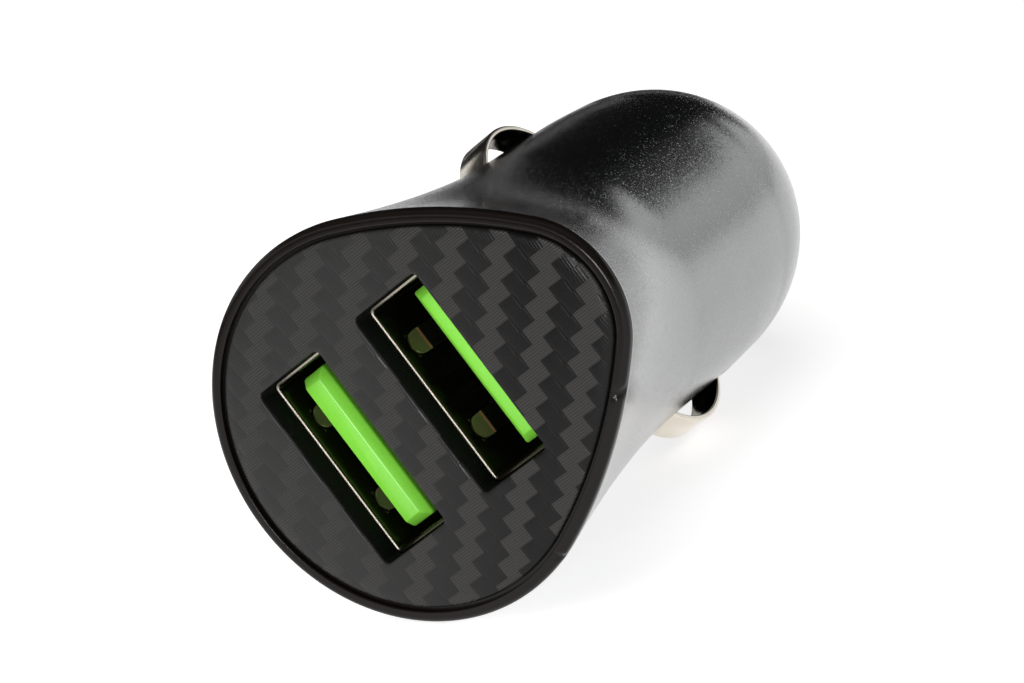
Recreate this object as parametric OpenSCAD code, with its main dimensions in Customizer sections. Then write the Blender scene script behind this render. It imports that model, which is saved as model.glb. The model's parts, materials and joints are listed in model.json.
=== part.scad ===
// Car USB charger plug with two ports, lying on its side as it comes to rest.
// Plug frame: Y runs from the face to the nose, Z points up through the face's lobe,
// X is along the ports' long side, and the face is at Y = 0. lay() turns it to its rest.

/* [Face outline] */
// Radius of the round part of the face
face_r = 12.95; // [12.6:0.05:14]
// Height of the lobe's tip above the barrel's axis
lobe_top = 18.1; // [17.4:0.1:20]
// Radius of the lobe's tip
lobe_r = 6.6; // [5.6:0.1:7.6]
// Radius of the flatter flanks between lobe and round part
flank_r = 34.5; // [30:0.5:60]

/* [Bezel and faceplate] */
// Width of the bezel's front rim
rim_w = 0.75; // [0.6:0.05:1]
// Depth of the bezel that shows in front of the metal housing
rim_d = 1.2; // [0.8:0.1:2]
// Rounding of the rim's outer edge
rim_round = 0.4; // [0.2:0.05:0.5]
// Gap between the rim and the faceplate
groove_w = 0.22; // [0.15:0.01:0.4]
// Thickness of the faceplate
plate_t = 1.9; // [1.5:0.1:2.4]
// Thickness of the faceplate's lip, which covers the bezel's step
lip_t = 0.7; // [0.5:0.05:0.9]
// Width of the faceplate's lip
lip_w = 0.85; // [0.7:0.05:1]
// Width of a port cut-out
port_w = 13.1; // [12.8:0.05:13.4]
// Height of a port cut-out
port_h = 5.5; // [5.4:0.05:5.8]
// Corner radius of a port cut-out
port_round = 0.4; // [0.1:0.05:0.8]
// Thickness of the bezel's floor, which carries the faceplate
floor_t = 2.0; // [1.2:0.1:2.5]

/* [Housing] */
// Radius of the barrel
barrel_r = 10.3; // [10.1:0.05:10.4]
// Wall of the metal housing
wall = 0.8; // [0.6:0.05:0.9]
// Length of the neck, over which the face's outline turns round
neck_len = 20; // [19:0.5:21]
// Where the barrel's shoulder begins to round over
shoulder_y = 38; // [37.5:0.5:42]
// Length of the rounded shoulder
shoulder_len = 10.5; // [9.5:0.25:12]
// Radius drawn in by the rounded shoulder
shoulder_in = 6.6; // [6:0.1:6.8]
// Where the metal housing ends and the nose ring begins
nose_split = 44.8; // [44.4:0.1:45.4]

/* [USB ports] */
// Height of the ports' middle above the barrel's axis
port_mid = 0.275; // [-0.2:0.025:0.5]
// Distance between the centres of the two ports
port_pitch = 8.95; // [8.8:0.05:9.2]
// Width of a port's steel shell
shell_w = 13.1; // [12.9:0.05:13.2]
// Height of a port's steel shell
shell_h = 5.72; // [5.6:0.02:5.8]
// Thickness of the shell's sheet
shell_t = 0.3; // [0.2:0.02:0.35]
// Length of a port's shell
shell_len = 9.4; // [9:0.1:10]
// Gap between the faceplate's back and the shell's rim
shell_gap = 0.1; // [0.05:0.05:0.3]
// Gap between the green tongue's ends and the shell's walls
tongue_side = 0.7; // [0.5:0.05:0.9]
// Thickness of the green tongue
tongue_t = 1.84; // [1.7:0.02:2]
// Distance of the tongue's front behind the shell's rim
tongue_back = 0.8; // [0.4:0.1:1.5]
// Gap between the tongue and the shell's wall behind it
tongue_off = 0.95; // [0.7:0.05:1.1]
// Width of one contact
contact_w = 0.9; // [0.7:0.05:1.1]
// Thickness of one contact
contact_t = 0.25; // [0.2:0.01:0.3]
// How far a contact stands proud of the tongue
contact_proud = 0.1; // [0.05:0.01:0.15]

/* [Circuit board] */
// Thickness of the circuit board
board_t = 1.6; // [1.2:0.1:1.6]
// Half the width of the board between the carrier's rails
board_front_hw = 7.8; // [7.7:0.05:7.85]
// Half the width of the board behind the carrier
board_rear_hw = 5.8; // [5.2:0.1:6]
// Where the board ends towards the nose
board_end = 33.6; // [33:0.1:34]

/* [Side clips] */
// Width of a clip's spring strip
clip_w = 5; // [4:0.1:5.4]
// Thickness of a clip's spring strip
clip_t = 0.4; // [0.3:0.02:0.5]
// How far a clip stands out of the barrel
clip_proud = 1.45; // [1.1:0.05:1.6]
// Place of a clip's crest along the plug
clip_y = 28.3; // [27.8:0.1:28.8]
// Half the length of a clip's bow where it leaves its strip
clip_half = 4.8; // [4.6:0.1:5]
// Clearance of a clip in its window
clip_clear = 0.4; // [0.3:0.05:0.6]

/* [Nose and tip] */
// Radius of the tip contact
tip_r = 2.6; // [2.2:0.1:3]
// How far the tip stands out of the nose ring
tip_out = 4.2; // [3.5:0.1:4.6]
// Travel of the tip when it is pressed in
tip_travel = 2.2; // [1.5:0.1:2.4]
// Radius of the tip's inner flange
tip_flange_r = 3.7; // [3.5:0.05:3.9]
// Running gap around the tip
tip_gap = 0.25; // [0.15:0.05:0.3]
// Wire diameter of the tip's spring
spring_wire = 0.45; // [0.3:0.05:0.5]
// Coils of the tip's spring
spring_turns = 5; // [4:0.5:6]

/* [Hidden] */
$fn = 64;
// Clearance between pieces that seat on each other
fit = 0.05;
// Points round the neck and the face's outline
sides = 96;

// Face outline: a round part, two flanks and a lobe, each tangent to the next
lobe_z = lobe_top - lobe_r;
flank_z = ((flank_r - face_r) ^ 2 - (flank_r - lobe_r) ^ 2 + lobe_z ^ 2) / (2 * lobe_z);
flank_x = sqrt((flank_r - face_r) ^ 2 - flank_z ^ 2);
flank_from = atan2(-flank_z, flank_x);
flank_dir = atan2(lobe_z - flank_z, flank_x);

// Depths along the plug
neck_y = rim_d;
neck_end = neck_y + neck_len;
floor_end = plate_t + floor_t;
shell_y = plate_t + shell_gap;
shell_end = shell_y + shell_len;
tail_t = 1.2;
tail_end = shell_end + tail_t;
pin_room = 2.9;
ring_y = tail_end + pin_room;
ring_t = 1.5;
ring_end = ring_y + ring_t;
rail_tail = 2.3;
rail_end = ring_end + rail_tail;

// Ports
upper_z = port_mid + port_pitch / 2;
lower_z = port_mid - port_pitch / 2;
tongue_len = 7.4;
tongue_z = shell_h / 2 - shell_t - tongue_off - tongue_t / 2;
contact_z = tongue_z - tongue_t / 2 - contact_proud + contact_t / 2;
contact_xs = [-3.5, -1, 1, 3.5];
board_face = board_t / 2;
port_stand = port_pitch / 2 - board_face;
pin_proud = 0.4;
pin_below = board_t + pin_proud;

// Housing bore, carrier and clips
rail_grip = 0.4;
bore_r = barrel_r - wall;
carrier_gap = 0.2;
carrier_r = bore_r - carrier_gap;
rail_in = board_front_hw - rail_grip;
clip_depth = 0.8;
clip_x = carrier_r - clip_depth;
clip_out = barrel_r + clip_proud;
clip_rise = clip_out - clip_x - clip_t;
clip_bow_r = (clip_half ^ 2 + clip_rise ^ 2) / (2 * clip_rise);
clip_bow_x = clip_out - clip_bow_r;
clip_foot = sqrt((clip_bow_r - clip_t) ^ 2 - (clip_x - clip_bow_x) ^ 2);
clip_toe = sqrt(clip_bow_r ^ 2 - (clip_x - clip_bow_x) ^ 2);
clip_root_y = ring_end + 3 * fit;
clip_tail = 0.6;
clip_tail_y = clip_y + clip_toe + clip_tail;
clip_seat = 0.4;
bend_room = 0.5;
slide_room = 0.2;
window_hw = clip_w / 2 + clip_clear;
window_from = clip_y - clip_toe - clip_clear - bend_room;
window_to = clip_y + clip_toe + clip_clear + slide_room;

// Nose
nose_step = 1.9;
nose_bore = bore_r - nose_step;
step_back = 0.6;
step_y = shoulder_y + step_back;
step_gap = 0.2;
shoulder_r = barrel_r - shoulder_in;
nose_cut = 0.5;
nose_end = shoulder_y + shoulder_len - nose_cut;
sleeve_gap = 1.4;
sleeve_y = board_end + sleeve_gap;
sleeve_wall = 1.25;
cavity_r = tip_flange_r + tip_gap;
sleeve_r = cavity_r + sleeve_wall;
terminal_y = sleeve_y - fit;
terminal_t = 0.5;
flange_t = 1.2;
boss_len = 1.3;
spring_in = 1;
spring_r = tip_flange_r - spring_wire / 2 - spring_in;
spring_spare = 1.05;
spring_room = spring_wire * (spring_turns + 1) + tip_travel + spring_spare;
flange_y = terminal_y + spring_room;
stop_y = flange_y + flange_t + fit;

// Rest: the rim and the shoulder touch the table, and the right clip's edge stops the roll
rest_tilt = atan((face_r - barrel_r) / (shoulder_y - rim_round));
rest_reach = face_r - (clip_y - rim_round) * tan(rest_tilt);
clip_corner = norm([clip_out, clip_w / 2]);
rest_roll = 90 - acos(rest_reach / clip_corner) - atan(clip_w / 2 / clip_out);

metal_dark = [0.13, 0.13, 0.135];
plastic_dark = [0.1, 0.09, 0.085];
plate_grey = [0.17, 0.165, 0.165];
nickel = [0.75, 0.73, 0.7];
gold = [0.8, 0.62, 0.3];
green = [0.33, 0.78, 0.16];
board_green = [0.1, 0.32, 0.16];
ferrite_grey = [0.25, 0.24, 0.23];
can_silver = [0.72, 0.72, 0.74];
resin_black = [0.12, 0.12, 0.12];
ceramic_white = [0.85, 0.83, 0.78];

// Turns the plug frame to the way the plug lies on a table, with its origin on the
// barrel's axis, level with the clips' crests
module lay() {
    rotate([-rest_tilt, 0, 0])
    rotate([0, rest_roll, 0])
    translate([0, -clip_y, 0])
    children();
}

// Distance from the origin to a circle at c with radius r, along the direction a
function reach(c, r, a) =
    let (d = c[0] * cos(a) + c[1] * sin(a))
    d + sqrt(r * r - c[0] * c[0] - c[1] * c[1] + d * d);

// Polar angle where the flank, inset by i, meets the lobe
function lobe_from(i) = atan2(lobe_z + (lobe_r - i) * sin(flank_dir), (lobe_r - i) * cos(flank_dir));

// Radius of the face outline at the direction a, inset by i
function face_at(a, i) =
    let (b = asin(sin(a)))
    b < flank_from ? face_r - i
    : b < lobe_from(i) ? reach([-flank_x, flank_z], flank_r - i, b)
    : reach([0, lobe_z], lobe_r - i, b);

// Share of the face's outline that is left at the depth y: 1 at the face, 0 at the barrel
function share_at(y) = y <= neck_y ? 1 : y >= neck_end ? 0 : ((neck_end - y) / neck_len) ^ 2;

// Ring of points round the plug at the depth y, inset by i
function ring_at(y, i) = [
    for (k = [0 : sides - 1])
    let (a = 360 * k / sides, s = share_at(y), r = (barrel_r - i) * (1 - s) + face_at(a, i) * s)
    [r * cos(a), y, r * sin(a)]
];

// Triangles of the band between ring m and ring m + 1
function band(m) = [
    for (k = [0 : sides - 1])
    let (n = (k + 1) % sides, a = m * sides, b = a + sides)
    each [[a + k, a + n, b + n], [a + k, b + n, b + k]]
];

// Solid through rings, each given as [depth, inset]
module loft(rings) {
    last = len(rings) - 1;
    polyhedron(
        points = [for (g = rings) each ring_at(g[0], g[1])],
        faces = concat(
            [[for (k = [sides - 1 : -1 : 0]) k]],
            [for (m = [0 : last - 1]) each band(m)],
            [[for (k = [0 : sides - 1]) last * sides + k]]
        )
    );
}

// Tube whose rings run down the outside and back up the inside
module loft_tube(rings) {
    count = len(rings);
    polyhedron(
        points = [for (g = rings) each ring_at(g[0], g[1])],
        faces = [
            for (m = [0 : count - 1], k = [0 : sides - 1])
            let (n = (k + 1) % sides, a = m * sides, b = ((m + 1) % count) * sides)
            each [[a + k, a + n, b + n], [a + k, b + n, b + k]]
        ]
    );
}

// Slab with the face's outline, inset by i, from the depth y0 to y1
module face_slab(i, y0, y1) {
    translate([0, y1, 0])
    rotate([90, 0, 0])
    linear_extrude(y1 - y0)
    polygon([for (k = [0 : sides - 1]) let (a = 360 * k / sides) face_at(a, i) * [cos(a), sin(a)]]);
}

// Rounded rectangle in X and Z, from the depth y0 to y1
module round_slot(w, h, r, y0, y1) {
    translate([0, y1, 0])
    rotate([90, 0, 0])
    linear_extrude(y1 - y0)
    union() {
        square([w - 2 * r, h], center = true);
        square([w, h - 2 * r], center = true);
        for (x = [-1, 1], z = [-1, 1])
            translate([x * (w / 2 - r), z * (h / 2 - r)])
            circle(r, $fn = 24);
    }
}

// Block given by its corners
module block(lo, hi) {
    translate(lo)
    cube(hi - lo);
}

// Solid of revolution about the plug's axis from points [radius, depth]
module turned(points) {
    rotate([-90, 0, 0])
    rotate_extrude()
    polygon(points);
}

// Places a port's part: the upper port as drawn, the lower one mirrored about the board
module upper_port() {
    translate([0, 0, upper_z])
    children();
}

module lower_port() {
    translate([0, 0, lower_z])
    mirror([0, 0, 1])
    children();
}

// Radius of the rounded shoulder at the depth y
function shoulder_at(y) =
    shoulder_r + shoulder_in * sqrt(max(0, 1 - ((y - shoulder_y) / shoulder_len) ^ 2));

function shoulder_points(y0, y1, n) = [
    for (k = [0 : n])
    let (y = y0 + (y1 - y0) * k / n)
    [shoulder_at(y), y]
];

// Metal housing: the neck turns the face's outline into the round barrel
neck_steps = 11;
neck_lap = 0.02;
neck_join = 0.4;

module neck() {
    // The last ring runs on inside the barrel's wall, so that the two join
    outer = [for (k = [0 : neck_steps - 1]) [neck_y + neck_len * k / neck_steps, 0]];
    inner = [for (k = [neck_steps - 1 : -1 : 0]) [neck_y + neck_len * k / neck_steps, wall]];
    lap = [
        [neck_end, neck_lap], [neck_end + neck_join, neck_lap],
        [neck_end + neck_join, wall - neck_lap], [neck_end, wall - neck_lap]
    ];
    loft_tube(concat(outer, lap, inner));
}

module barrel() {
    turned(concat(
        [[bore_r, neck_end], [barrel_r, neck_end]],
        shoulder_points(shoulder_y, nose_split, 8),
        [[nose_bore, nose_split], [nose_bore, step_y], [bore_r, step_y]]
    ));
}

module clip_window() {
    block([bore_r / 2, window_from, -window_hw], [barrel_r + 1, window_to, window_hw]);
}

module housing() {
    color(metal_dark)
    lay()
    difference() {
        union() {
            neck();
            barrel();
        }
        clip_window();
        mirror([1, 0, 0]) clip_window();
    }
}

// Bezel: a rim with a floor that carries the faceplate and passes the ports
module bezel() {
    skirt = wall + fit;
    pass = 4 * fit;
    color(plastic_dark)
    lay()
    difference() {
        union() {
            loft([
                [0, rim_round], [rim_round * 0.08, rim_round * 0.6], [rim_round * 0.35, rim_round * 0.24],
                [rim_round, 0], [rim_d, 0]
            ]);
            loft([
                [rim_d, skirt], [rim_d + floor_end * 0.25, skirt],
                [rim_d + floor_end * 0.5, skirt], [floor_end, skirt]
            ]);
        }
        face_slab(rim_w, -1, lip_t);
        face_slab(rim_w + groove_w + lip_w - fit, -1, plate_t);
        for (z = [upper_z, lower_z])
            translate([0, 0, z])
            round_slot(shell_w + pass, shell_h + pass, shell_round / 2, plate_t - 1, floor_end + 1);
    }
}

module faceplate() {
    color(plate_grey)
    lay()
    difference() {
        union() {
            face_slab(rim_w + groove_w, 0, lip_t);
            face_slab(rim_w + groove_w + lip_w, 0, plate_t);
        }
        for (z = [upper_z, lower_z])
            translate([0, 0, z])
            round_slot(port_w, port_h, port_round, -1, plate_t + 1);
    }
}

// Carrier: a ring with two rails that hold the board's edges
rail_h = 4.8;
ring_w = 1.3;
slot_h = board_t + 2 * fit;
clip_relief = 0.4;
shell_clear = 0.2;

// Room that the shells and their legs need beside the rails
module shell_room() {
    half_w = shell_w / 2 + shell_clear;
    for (z = [upper_z, lower_z])
        block(
            [0, floor_end, z - shell_h / 2 - shell_clear],
            [half_w, shell_end + shell_clear, z + shell_h / 2 + shell_clear]
        );
    for (y = leg_ys)
        block([0, y - shell_clear, lower_z], [half_w, y + leg_w + shell_clear, upper_z]);
}

module carrier_rail() {
    difference() {
        block(
            [rail_in, floor_end + fit, port_mid - rail_h / 2],
            [clip_x - fit, rail_end, port_mid + rail_h / 2]
        );
        block(
            [rail_in - 1, floor_end, port_mid - slot_h / 2],
            [board_front_hw + fit, rail_end + 1, port_mid + slot_h / 2]
        );
        // The clip's strip bends inwards past this end of the rail
        block(
            [clip_x - clip_relief, clip_root_y + clip_seat, port_mid - rail_h],
            [clip_x + 1, rail_end + 1, port_mid + rail_h]
        );
        shell_room();
    }
}

module carrier() {
    color(plastic_dark)
    lay()
    difference() {
        union() {
            turned([
                [carrier_r - ring_w, ring_y], [carrier_r, ring_y],
                [carrier_r, ring_end], [carrier_r - ring_w, ring_end]
            ]);
            carrier_rail();
            mirror([1, 0, 0]) carrier_rail();
        }
        block(
            [-board_front_hw - fit, ring_y - 1, port_mid - slot_h / 2],
            [board_front_hw + fit, ring_end + 1, port_mid + slot_h / 2]
        );
    }
}

// Steel shell with spring fingers pressed into its wide walls and legs through the board
shell_round = 0.45;
finger_x = 3.25;
finger_w = 1.9;
finger_len = 2.4;
finger_back = 2.2;
finger_y = shell_y + finger_back;
finger_dip = 0.35;
finger_gap = 0.15;
leg_w = 1.6;
leg_back = 4.6;
leg_step = 2.2;
leg_ys = [shell_y + leg_back, shell_y + leg_back + leg_step];

// Outline with a round free end, w wide
module finger_outline(w) {
    union() {
        translate([-w / 2, finger_w / 2]) square([w, finger_len - finger_w / 2]);
        translate([0, finger_w / 2]) circle(w / 2, $fn = 32);
    }
}

module finger_slot() {
    linear_extrude(shell_t * 3, center = true)
    finger_outline(finger_w);
}

module finger() {
    // Hinged at its rear end, its round free end dips into the port
    translate([0, finger_len, 0])
    rotate([asin(finger_dip / finger_len), 0, 0])
    translate([0, -finger_len, 0])
    linear_extrude(shell_t * 0.8, center = true)
    finger_outline(finger_w - 2 * finger_gap);
}

module leg(leg_y) {
    block(
        [shell_w / 2 - shell_t, leg_y, -port_stand - pin_below],
        [shell_w / 2, leg_y + leg_w, shell_round - shell_h / 2]
    );
}

module port_shell(leg_y) {
    bend_in = shell_round - shell_t;
    difference() {
        round_slot(shell_w, shell_h, shell_round, shell_y, shell_end);
        round_slot(shell_w - 2 * shell_t, shell_h - 2 * shell_t, bend_in, shell_y - 1, shell_end + 1);
        for (x = [-1, 1], z = [-1, 1])
            translate([x * finger_x, finger_y, z * (shell_h - shell_t) / 2])
            finger_slot();
    }
    for (x = [-1, 1], z = [0, 1])
        mirror([0, 0, z])
        translate([x * finger_x, finger_y, (shell_h - shell_t) / 2])
        finger();
    leg(leg_y);
    mirror([1, 0, 0]) leg(leg_y);
}

module upper_port_shell() {
    color(nickel)
    lay()
    upper_port()
    port_shell(leg_ys[0]);
}

module lower_port_shell() {
    color(nickel)
    lay()
    lower_port()
    port_shell(leg_ys[1]);
}

// Green insulator: the tongue, the block behind it and the foot on the board
shell_in_w = shell_w - 2 * shell_t;
insulator_w = shell_in_w - 4 * fit;
insulator_h = shell_h - 2 * shell_t - 4 * fit;
tongue_w = shell_in_w - 2 * tongue_side;
tongue_y = shell_y + tongue_back;
tongue_end = tongue_y + tongue_len;
tail_in = 0.35;
tail_w = insulator_w - 2 * tail_in;
tail_drop = 0.6;
tongue_bevel = 0.45;
contact_in = 0.5;

module port_insulator() {
    difference() {
        union() {
            // The tongue's front is bevelled on the contact side and at its ends
            translate([0, 0, tongue_z])
            difference() {
                block(
                    [-tongue_w / 2, tongue_y, -tongue_t / 2],
                    [tongue_w / 2, tongue_end + tongue_bevel, tongue_t / 2]
                );
                translate([0, tongue_y, -tongue_t / 2])
                rotate([45, 0, 0])
                cube([tongue_w + 1, tongue_bevel, tongue_bevel], center = true);
                for (x = [-1, 1])
                    translate([x * tongue_w / 2, tongue_y, 0])
                    rotate([0, 0, 45])
                    cube([tongue_bevel, tongue_bevel, tongue_t + 1], center = true);
            }
            block(
                [-insulator_w / 2, tongue_end, -insulator_h / 2],
                [insulator_w / 2, shell_end + fit, insulator_h / 2]
            );
            block(
                [-tail_w / 2, shell_end + fit, -port_stand],
                [tail_w / 2, tail_end, insulator_h / 2 - tail_drop]
            );
        }
        for (x = contact_xs)
            block(
                [x - contact_w / 2, tongue_y + contact_in, contact_z - contact_t / 2],
                [x + contact_w / 2, tail_end + 1, contact_z + contact_t / 2]
            );
        for (x = contact_xs)
            block(
                [x - contact_w / 2, tongue_y + contact_in, tongue_z - tongue_t / 2 - 1],
                [x + contact_w / 2, tongue_end, contact_z]
            );
    }
}

module upper_port_insulator() {
    color(green)
    lay()
    upper_port()
    port_insulator();
}

module lower_port_insulator() {
    color(green)
    lay()
    lower_port()
    port_insulator();
}

// One contact: a strip along the tongue, bent down through the board behind it
module contact(x, tail_y) {
    block(
        [x - contact_w / 2, tongue_y + contact_in, contact_z - contact_t / 2],
        [x + contact_w / 2, tail_y + contact_t, contact_z + contact_t / 2]
    );
    block(
        [x - contact_w / 3, tail_y, -port_stand - pin_below],
        [x + contact_w / 3, tail_y + contact_t, contact_z]
    );
}

pin_gap = 0.4;
pin_step = 1.2;
upper_tail_y = tail_end + pin_gap;
lower_tail_y = upper_tail_y + pin_step;

module upper_contact(k) {
    color(gold)
    lay()
    upper_port()
    contact(contact_xs[k - 1], upper_tail_y);
}

module lower_contact(k) {
    color(gold)
    lay()
    lower_port()
    contact(contact_xs[k - 1], lower_tail_y);
}

// Circuit board with slots for the shells' legs and holes for the contacts
module main_board() {
    hole = 0.08;
    color(board_green)
    lay()
    translate([0, 0, port_mid])
    difference() {
        union() {
            block([-board_front_hw, floor_end + fit, -board_face], [board_front_hw, ring_end, board_face]);
            block([-board_rear_hw, ring_end - 1, -board_face], [board_rear_hw, board_end, board_face]);
        }
        for (x = [-1, 1], y = leg_ys)
            translate([x * (shell_w - shell_t) / 2, y + leg_w / 2, 0])
            cube([shell_t + 2 * hole, leg_w + 2 * hole, board_t + 1], center = true);
        for (x = contact_xs, y = [upper_tail_y, lower_tail_y])
            translate([x, y + contact_t / 2, 0])
            cube([contact_w * 2 / 3 + 2 * hole, contact_t + 2 * hole, board_t + 1], center = true);
    }
}

// Parts on the board, each drawn from the board's face
module on_top(x, y) {
    translate([x, y, port_mid + board_face])
    children();
}

module under(x, y) {
    translate([x, y, port_mid - board_face])
    mirror([0, 0, 1])
    children();
}

// Spool with two flanges, its winding sunk between them
coil_r = 3.9;
coil_h = 4.6;
coil_flange = 0.8;
coil_sunk = 0.7;
core_r = coil_r - coil_sunk;

module inductor() {
    color(ferrite_grey)
    lay()
    on_top(0, ring_end + coil_r + coil_sunk)
    rotate_extrude()
    polygon([
        [0, 0], [coil_r, 0], [coil_r, coil_flange], [core_r, coil_flange],
        [core_r, coil_h - coil_flange], [coil_r, coil_h - coil_flange], [coil_r, coil_h], [0, coil_h]
    ]);
}

// Can capacitor of radius r and height h on a square foot
module can_capacitor(r, h) {
    foot = 0.5;
    inset = 0.15;
    union() {
        translate([0, 0, foot / 2]) cube([2 * r, 2 * r, foot], center = true);
        cylinder(r = r - inset, h = h);
    }
}

input_can = [3.1, 6.3];
output_can = [2.6, 5.8];
can_gap = 0.5;

module input_capacitor() {
    color(can_silver)
    lay()
    under(0, board_end - input_can[0] - can_gap)
    can_capacitor(input_can[0], input_can[1]);
}

module output_capacitor() {
    color(can_silver)
    lay()
    under(0, ring_end + output_can[0] + can_gap)
    can_capacitor(output_can[0], output_can[1]);
}

// Controller with four leads on each side
chip_l = 4.9;
chip_w = 3.9;
chip_h = 1.5;
chip_x = -2.6;
chip_back = 2;
lead_pitch = 1.27;
lead = [1, 0.42, 0.24];
lead_lap = 0.1;

module controller_chip() {
    color(resin_black)
    lay()
    on_top(chip_x, board_end - chip_l / 2 - chip_back)
    union() {
        block([-chip_w / 2, -chip_l / 2, lead[2] / 2], [chip_w / 2, chip_l / 2, chip_h]);
        for (x = [-1, 1], k = [-1.5 : 1.5])
            translate([x * ((chip_w + lead[0]) / 2 - lead_lap), k * lead_pitch, lead[2] / 2])
            cube(lead, center = true);
    }
}

diode = [2.6, 3.4, 2.1];
diode_x = 3.2;
diode_back = 0.8;

module rectifier_diode() {
    color(resin_black)
    lay()
    on_top(diode_x, board_end - diode[1] / 2 - diode_back)
    translate([0, 0, diode[2] / 2])
    cube(diode, center = true);
}

fuse = [1.6, 3.2, 0.9];
fuse_x = 4.2;

module input_fuse() {
    color(ceramic_white)
    lay()
    under(fuse_x, board_end - 2 * (input_can[0] + can_gap) - fuse[1] / 2)
    translate([0, 0, fuse[2] / 2])
    cube(fuse, center = true);
}

// Leaf that joins the board's ground to the metal housing
module ground_contact() {
    leaf_t = 0.25;
    leaf_w = 2;
    leaf_x = -4.4;
    leaf_back = 2.4;
    leaf_y = ring_end + leaf_back;
    leaf_foot = 3;
    leaf_toe = 1.4;
    leaf_gap = 0.35;
    drop = sqrt((bore_r - leaf_gap) ^ 2 - (abs(leaf_x) + leaf_w / 2) ^ 2) + port_mid - board_face;
    color(gold)
    lay()
    under(leaf_x, leaf_y)
    union() {
        block([-leaf_w / 2, 0, 0], [leaf_w / 2, leaf_foot, leaf_t]);
        block([-leaf_w / 2, 0, 0], [leaf_w / 2, leaf_t, drop]);
        block([-leaf_w / 2, 0, drop - leaf_t], [leaf_w / 2, leaf_toe, drop]);
    }
}

// Plate that the tip's spring stands on, soldered to the board
module tip_terminal() {
    strip_w = 3;
    strip_t = 0.4;
    strip_lap = 1.6;
    plate_r = sleeve_r - sleeve_wall / 2;
    color(gold)
    lay()
    union() {
        turned([
            [0, terminal_y - terminal_t], [plate_r, terminal_y - terminal_t],
            [plate_r, terminal_y], [0, terminal_y]
        ]);
        block(
            [-strip_w / 2, board_end - strip_lap, port_mid + board_face],
            [strip_w / 2, terminal_y - terminal_t / 2, port_mid + board_face + strip_t]
        );
    }
}

// Nose ring: carries the tip and closes the barrel
module nose_ring() {
    seat = nose_bore - fit;
    color(plastic_dark)
    lay()
    turned(concat(
        [[cavity_r, sleeve_y], [sleeve_r, sleeve_y], [sleeve_r, step_y + step_gap]],
        [[seat, step_y + step_gap], [seat, nose_split + fit]],
        shoulder_points(nose_split + fit, nose_end, 8),
        [[tip_r + tip_gap, nose_end], [tip_r + tip_gap, stop_y], [cavity_r, stop_y]]
    ));
}

// Tip contact: pressed by its spring against the stop inside the nose ring
module tip_contact() {
    tip_end = nose_end + tip_out;
    dome = tip_r * 0.7;
    boss_r = spring_r - spring_wire / 2 - tip_gap;
    color(nickel)
    lay()
    turned(concat(
        [[0, flange_y - boss_len], [boss_r, flange_y - boss_len], [boss_r, flange_y]],
        [[tip_flange_r, flange_y], [tip_flange_r, flange_y + flange_t], [tip_r, flange_y + flange_t]],
        [for (a = [0 : 15 : 90]) [tip_r * cos(a), tip_end - dome + dome * sin(a)]]
    ));
}

// Spring of the tip: a round wire swept along a helix
wire_sides = 8;
helix_steps = 16;

function wire_ring(t, from, to) =
    let (
        a = 360 * t * spring_turns,
        slope = atan2(to - from, 2 * PI * spring_r * spring_turns)
    )
    [
        for (k = [0 : wire_sides - 1])
        let (
            b = 360 * k / wire_sides,
            u = spring_wire / 2 * cos(b),
            v = spring_wire / 2 * sin(b)
        )
        [
            (spring_r + u) * cos(a) + v * sin(slope) * sin(a),
            from + (to - from) * t + v * cos(slope),
            (spring_r + u) * sin(a) - v * sin(slope) * cos(a)
        ]
    ];

module tip_spring() {
    count = ceil(spring_turns * helix_steps);
    low = terminal_y + spring_wire / 2 + fit;
    high = flange_y - spring_wire / 2 - fit;
    color(nickel)
    lay()
    polyhedron(
        points = [for (m = [0 : count]) each wire_ring(m / count, low, high)],
        faces = concat(
            [[for (k = [0 : wire_sides - 1]) k]],
            [
                for (m = [0 : count - 1], k = [0 : wire_sides - 1])
                let (n = (k + 1) % wire_sides, a = m * wire_sides, b = a + wire_sides)
                each [[a + k, b + n, a + n], [a + k, b + k, b + n]]
            ],
            [[for (k = [wire_sides - 1 : -1 : 0]) count * wire_sides + k]]
        )
    );
}

// Side clip: a strip that bows out through the housing's window
module clip_strip() {
    translate([0, 0, -clip_w / 2])
    linear_extrude(clip_w)
    union() {
        translate([clip_x, clip_root_y]) square([clip_t, clip_y - clip_foot - clip_root_y]);
        translate([clip_x, clip_y + clip_foot]) square([clip_t, clip_tail_y - clip_y - clip_foot]);
        intersection() {
            translate([clip_bow_x, clip_y])
            difference() {
                circle(clip_bow_r);
                circle(clip_bow_r - clip_t);
            }
            translate([clip_x, clip_y - clip_toe - 1]) square([clip_out, 2 * clip_toe + 2]);
        }
    }
}

module left_clip() {
    color(nickel)
    lay()
    mirror([1, 0, 0])
    clip_strip();
}

module right_clip() {
    color(nickel)
    lay()
    clip_strip();
}

housing();
bezel();
faceplate();
carrier();
upper_port_shell();
lower_port_shell();
upper_port_insulator();
lower_port_insulator();
upper_contact(1);  // upper_contact_1
upper_contact(2);  // upper_contact_2
upper_contact(3);  // upper_contact_3
upper_contact(4);  // upper_contact_4
lower_contact(1);  // lower_contact_1
lower_contact(2);  // lower_contact_2
lower_contact(3);  // lower_contact_3
lower_contact(4);  // lower_contact_4
main_board();
inductor();
input_capacitor();
output_capacitor();
controller_chip();
rectifier_diode();
input_fuse();
ground_contact();
tip_terminal();
nose_ring();
tip_contact();
tip_spring();
left_clip();
right_clip();
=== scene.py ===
"""Looks of a two-port USB charger plug that lies on a white table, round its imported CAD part.

Pieces are drawn in the plug's own frame in millimetres, as the CAD source draws them: X along
the ports' long side, Y from the face to the nose, Z up through the face's lobe, with the
barrel's axis at x = z = 0. PLACE then lays them on the table, in metres.
"""

import json
import math

import bmesh
import bpy
import numpy as np
from mathutils import Matrix, Vector, geometry


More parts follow.
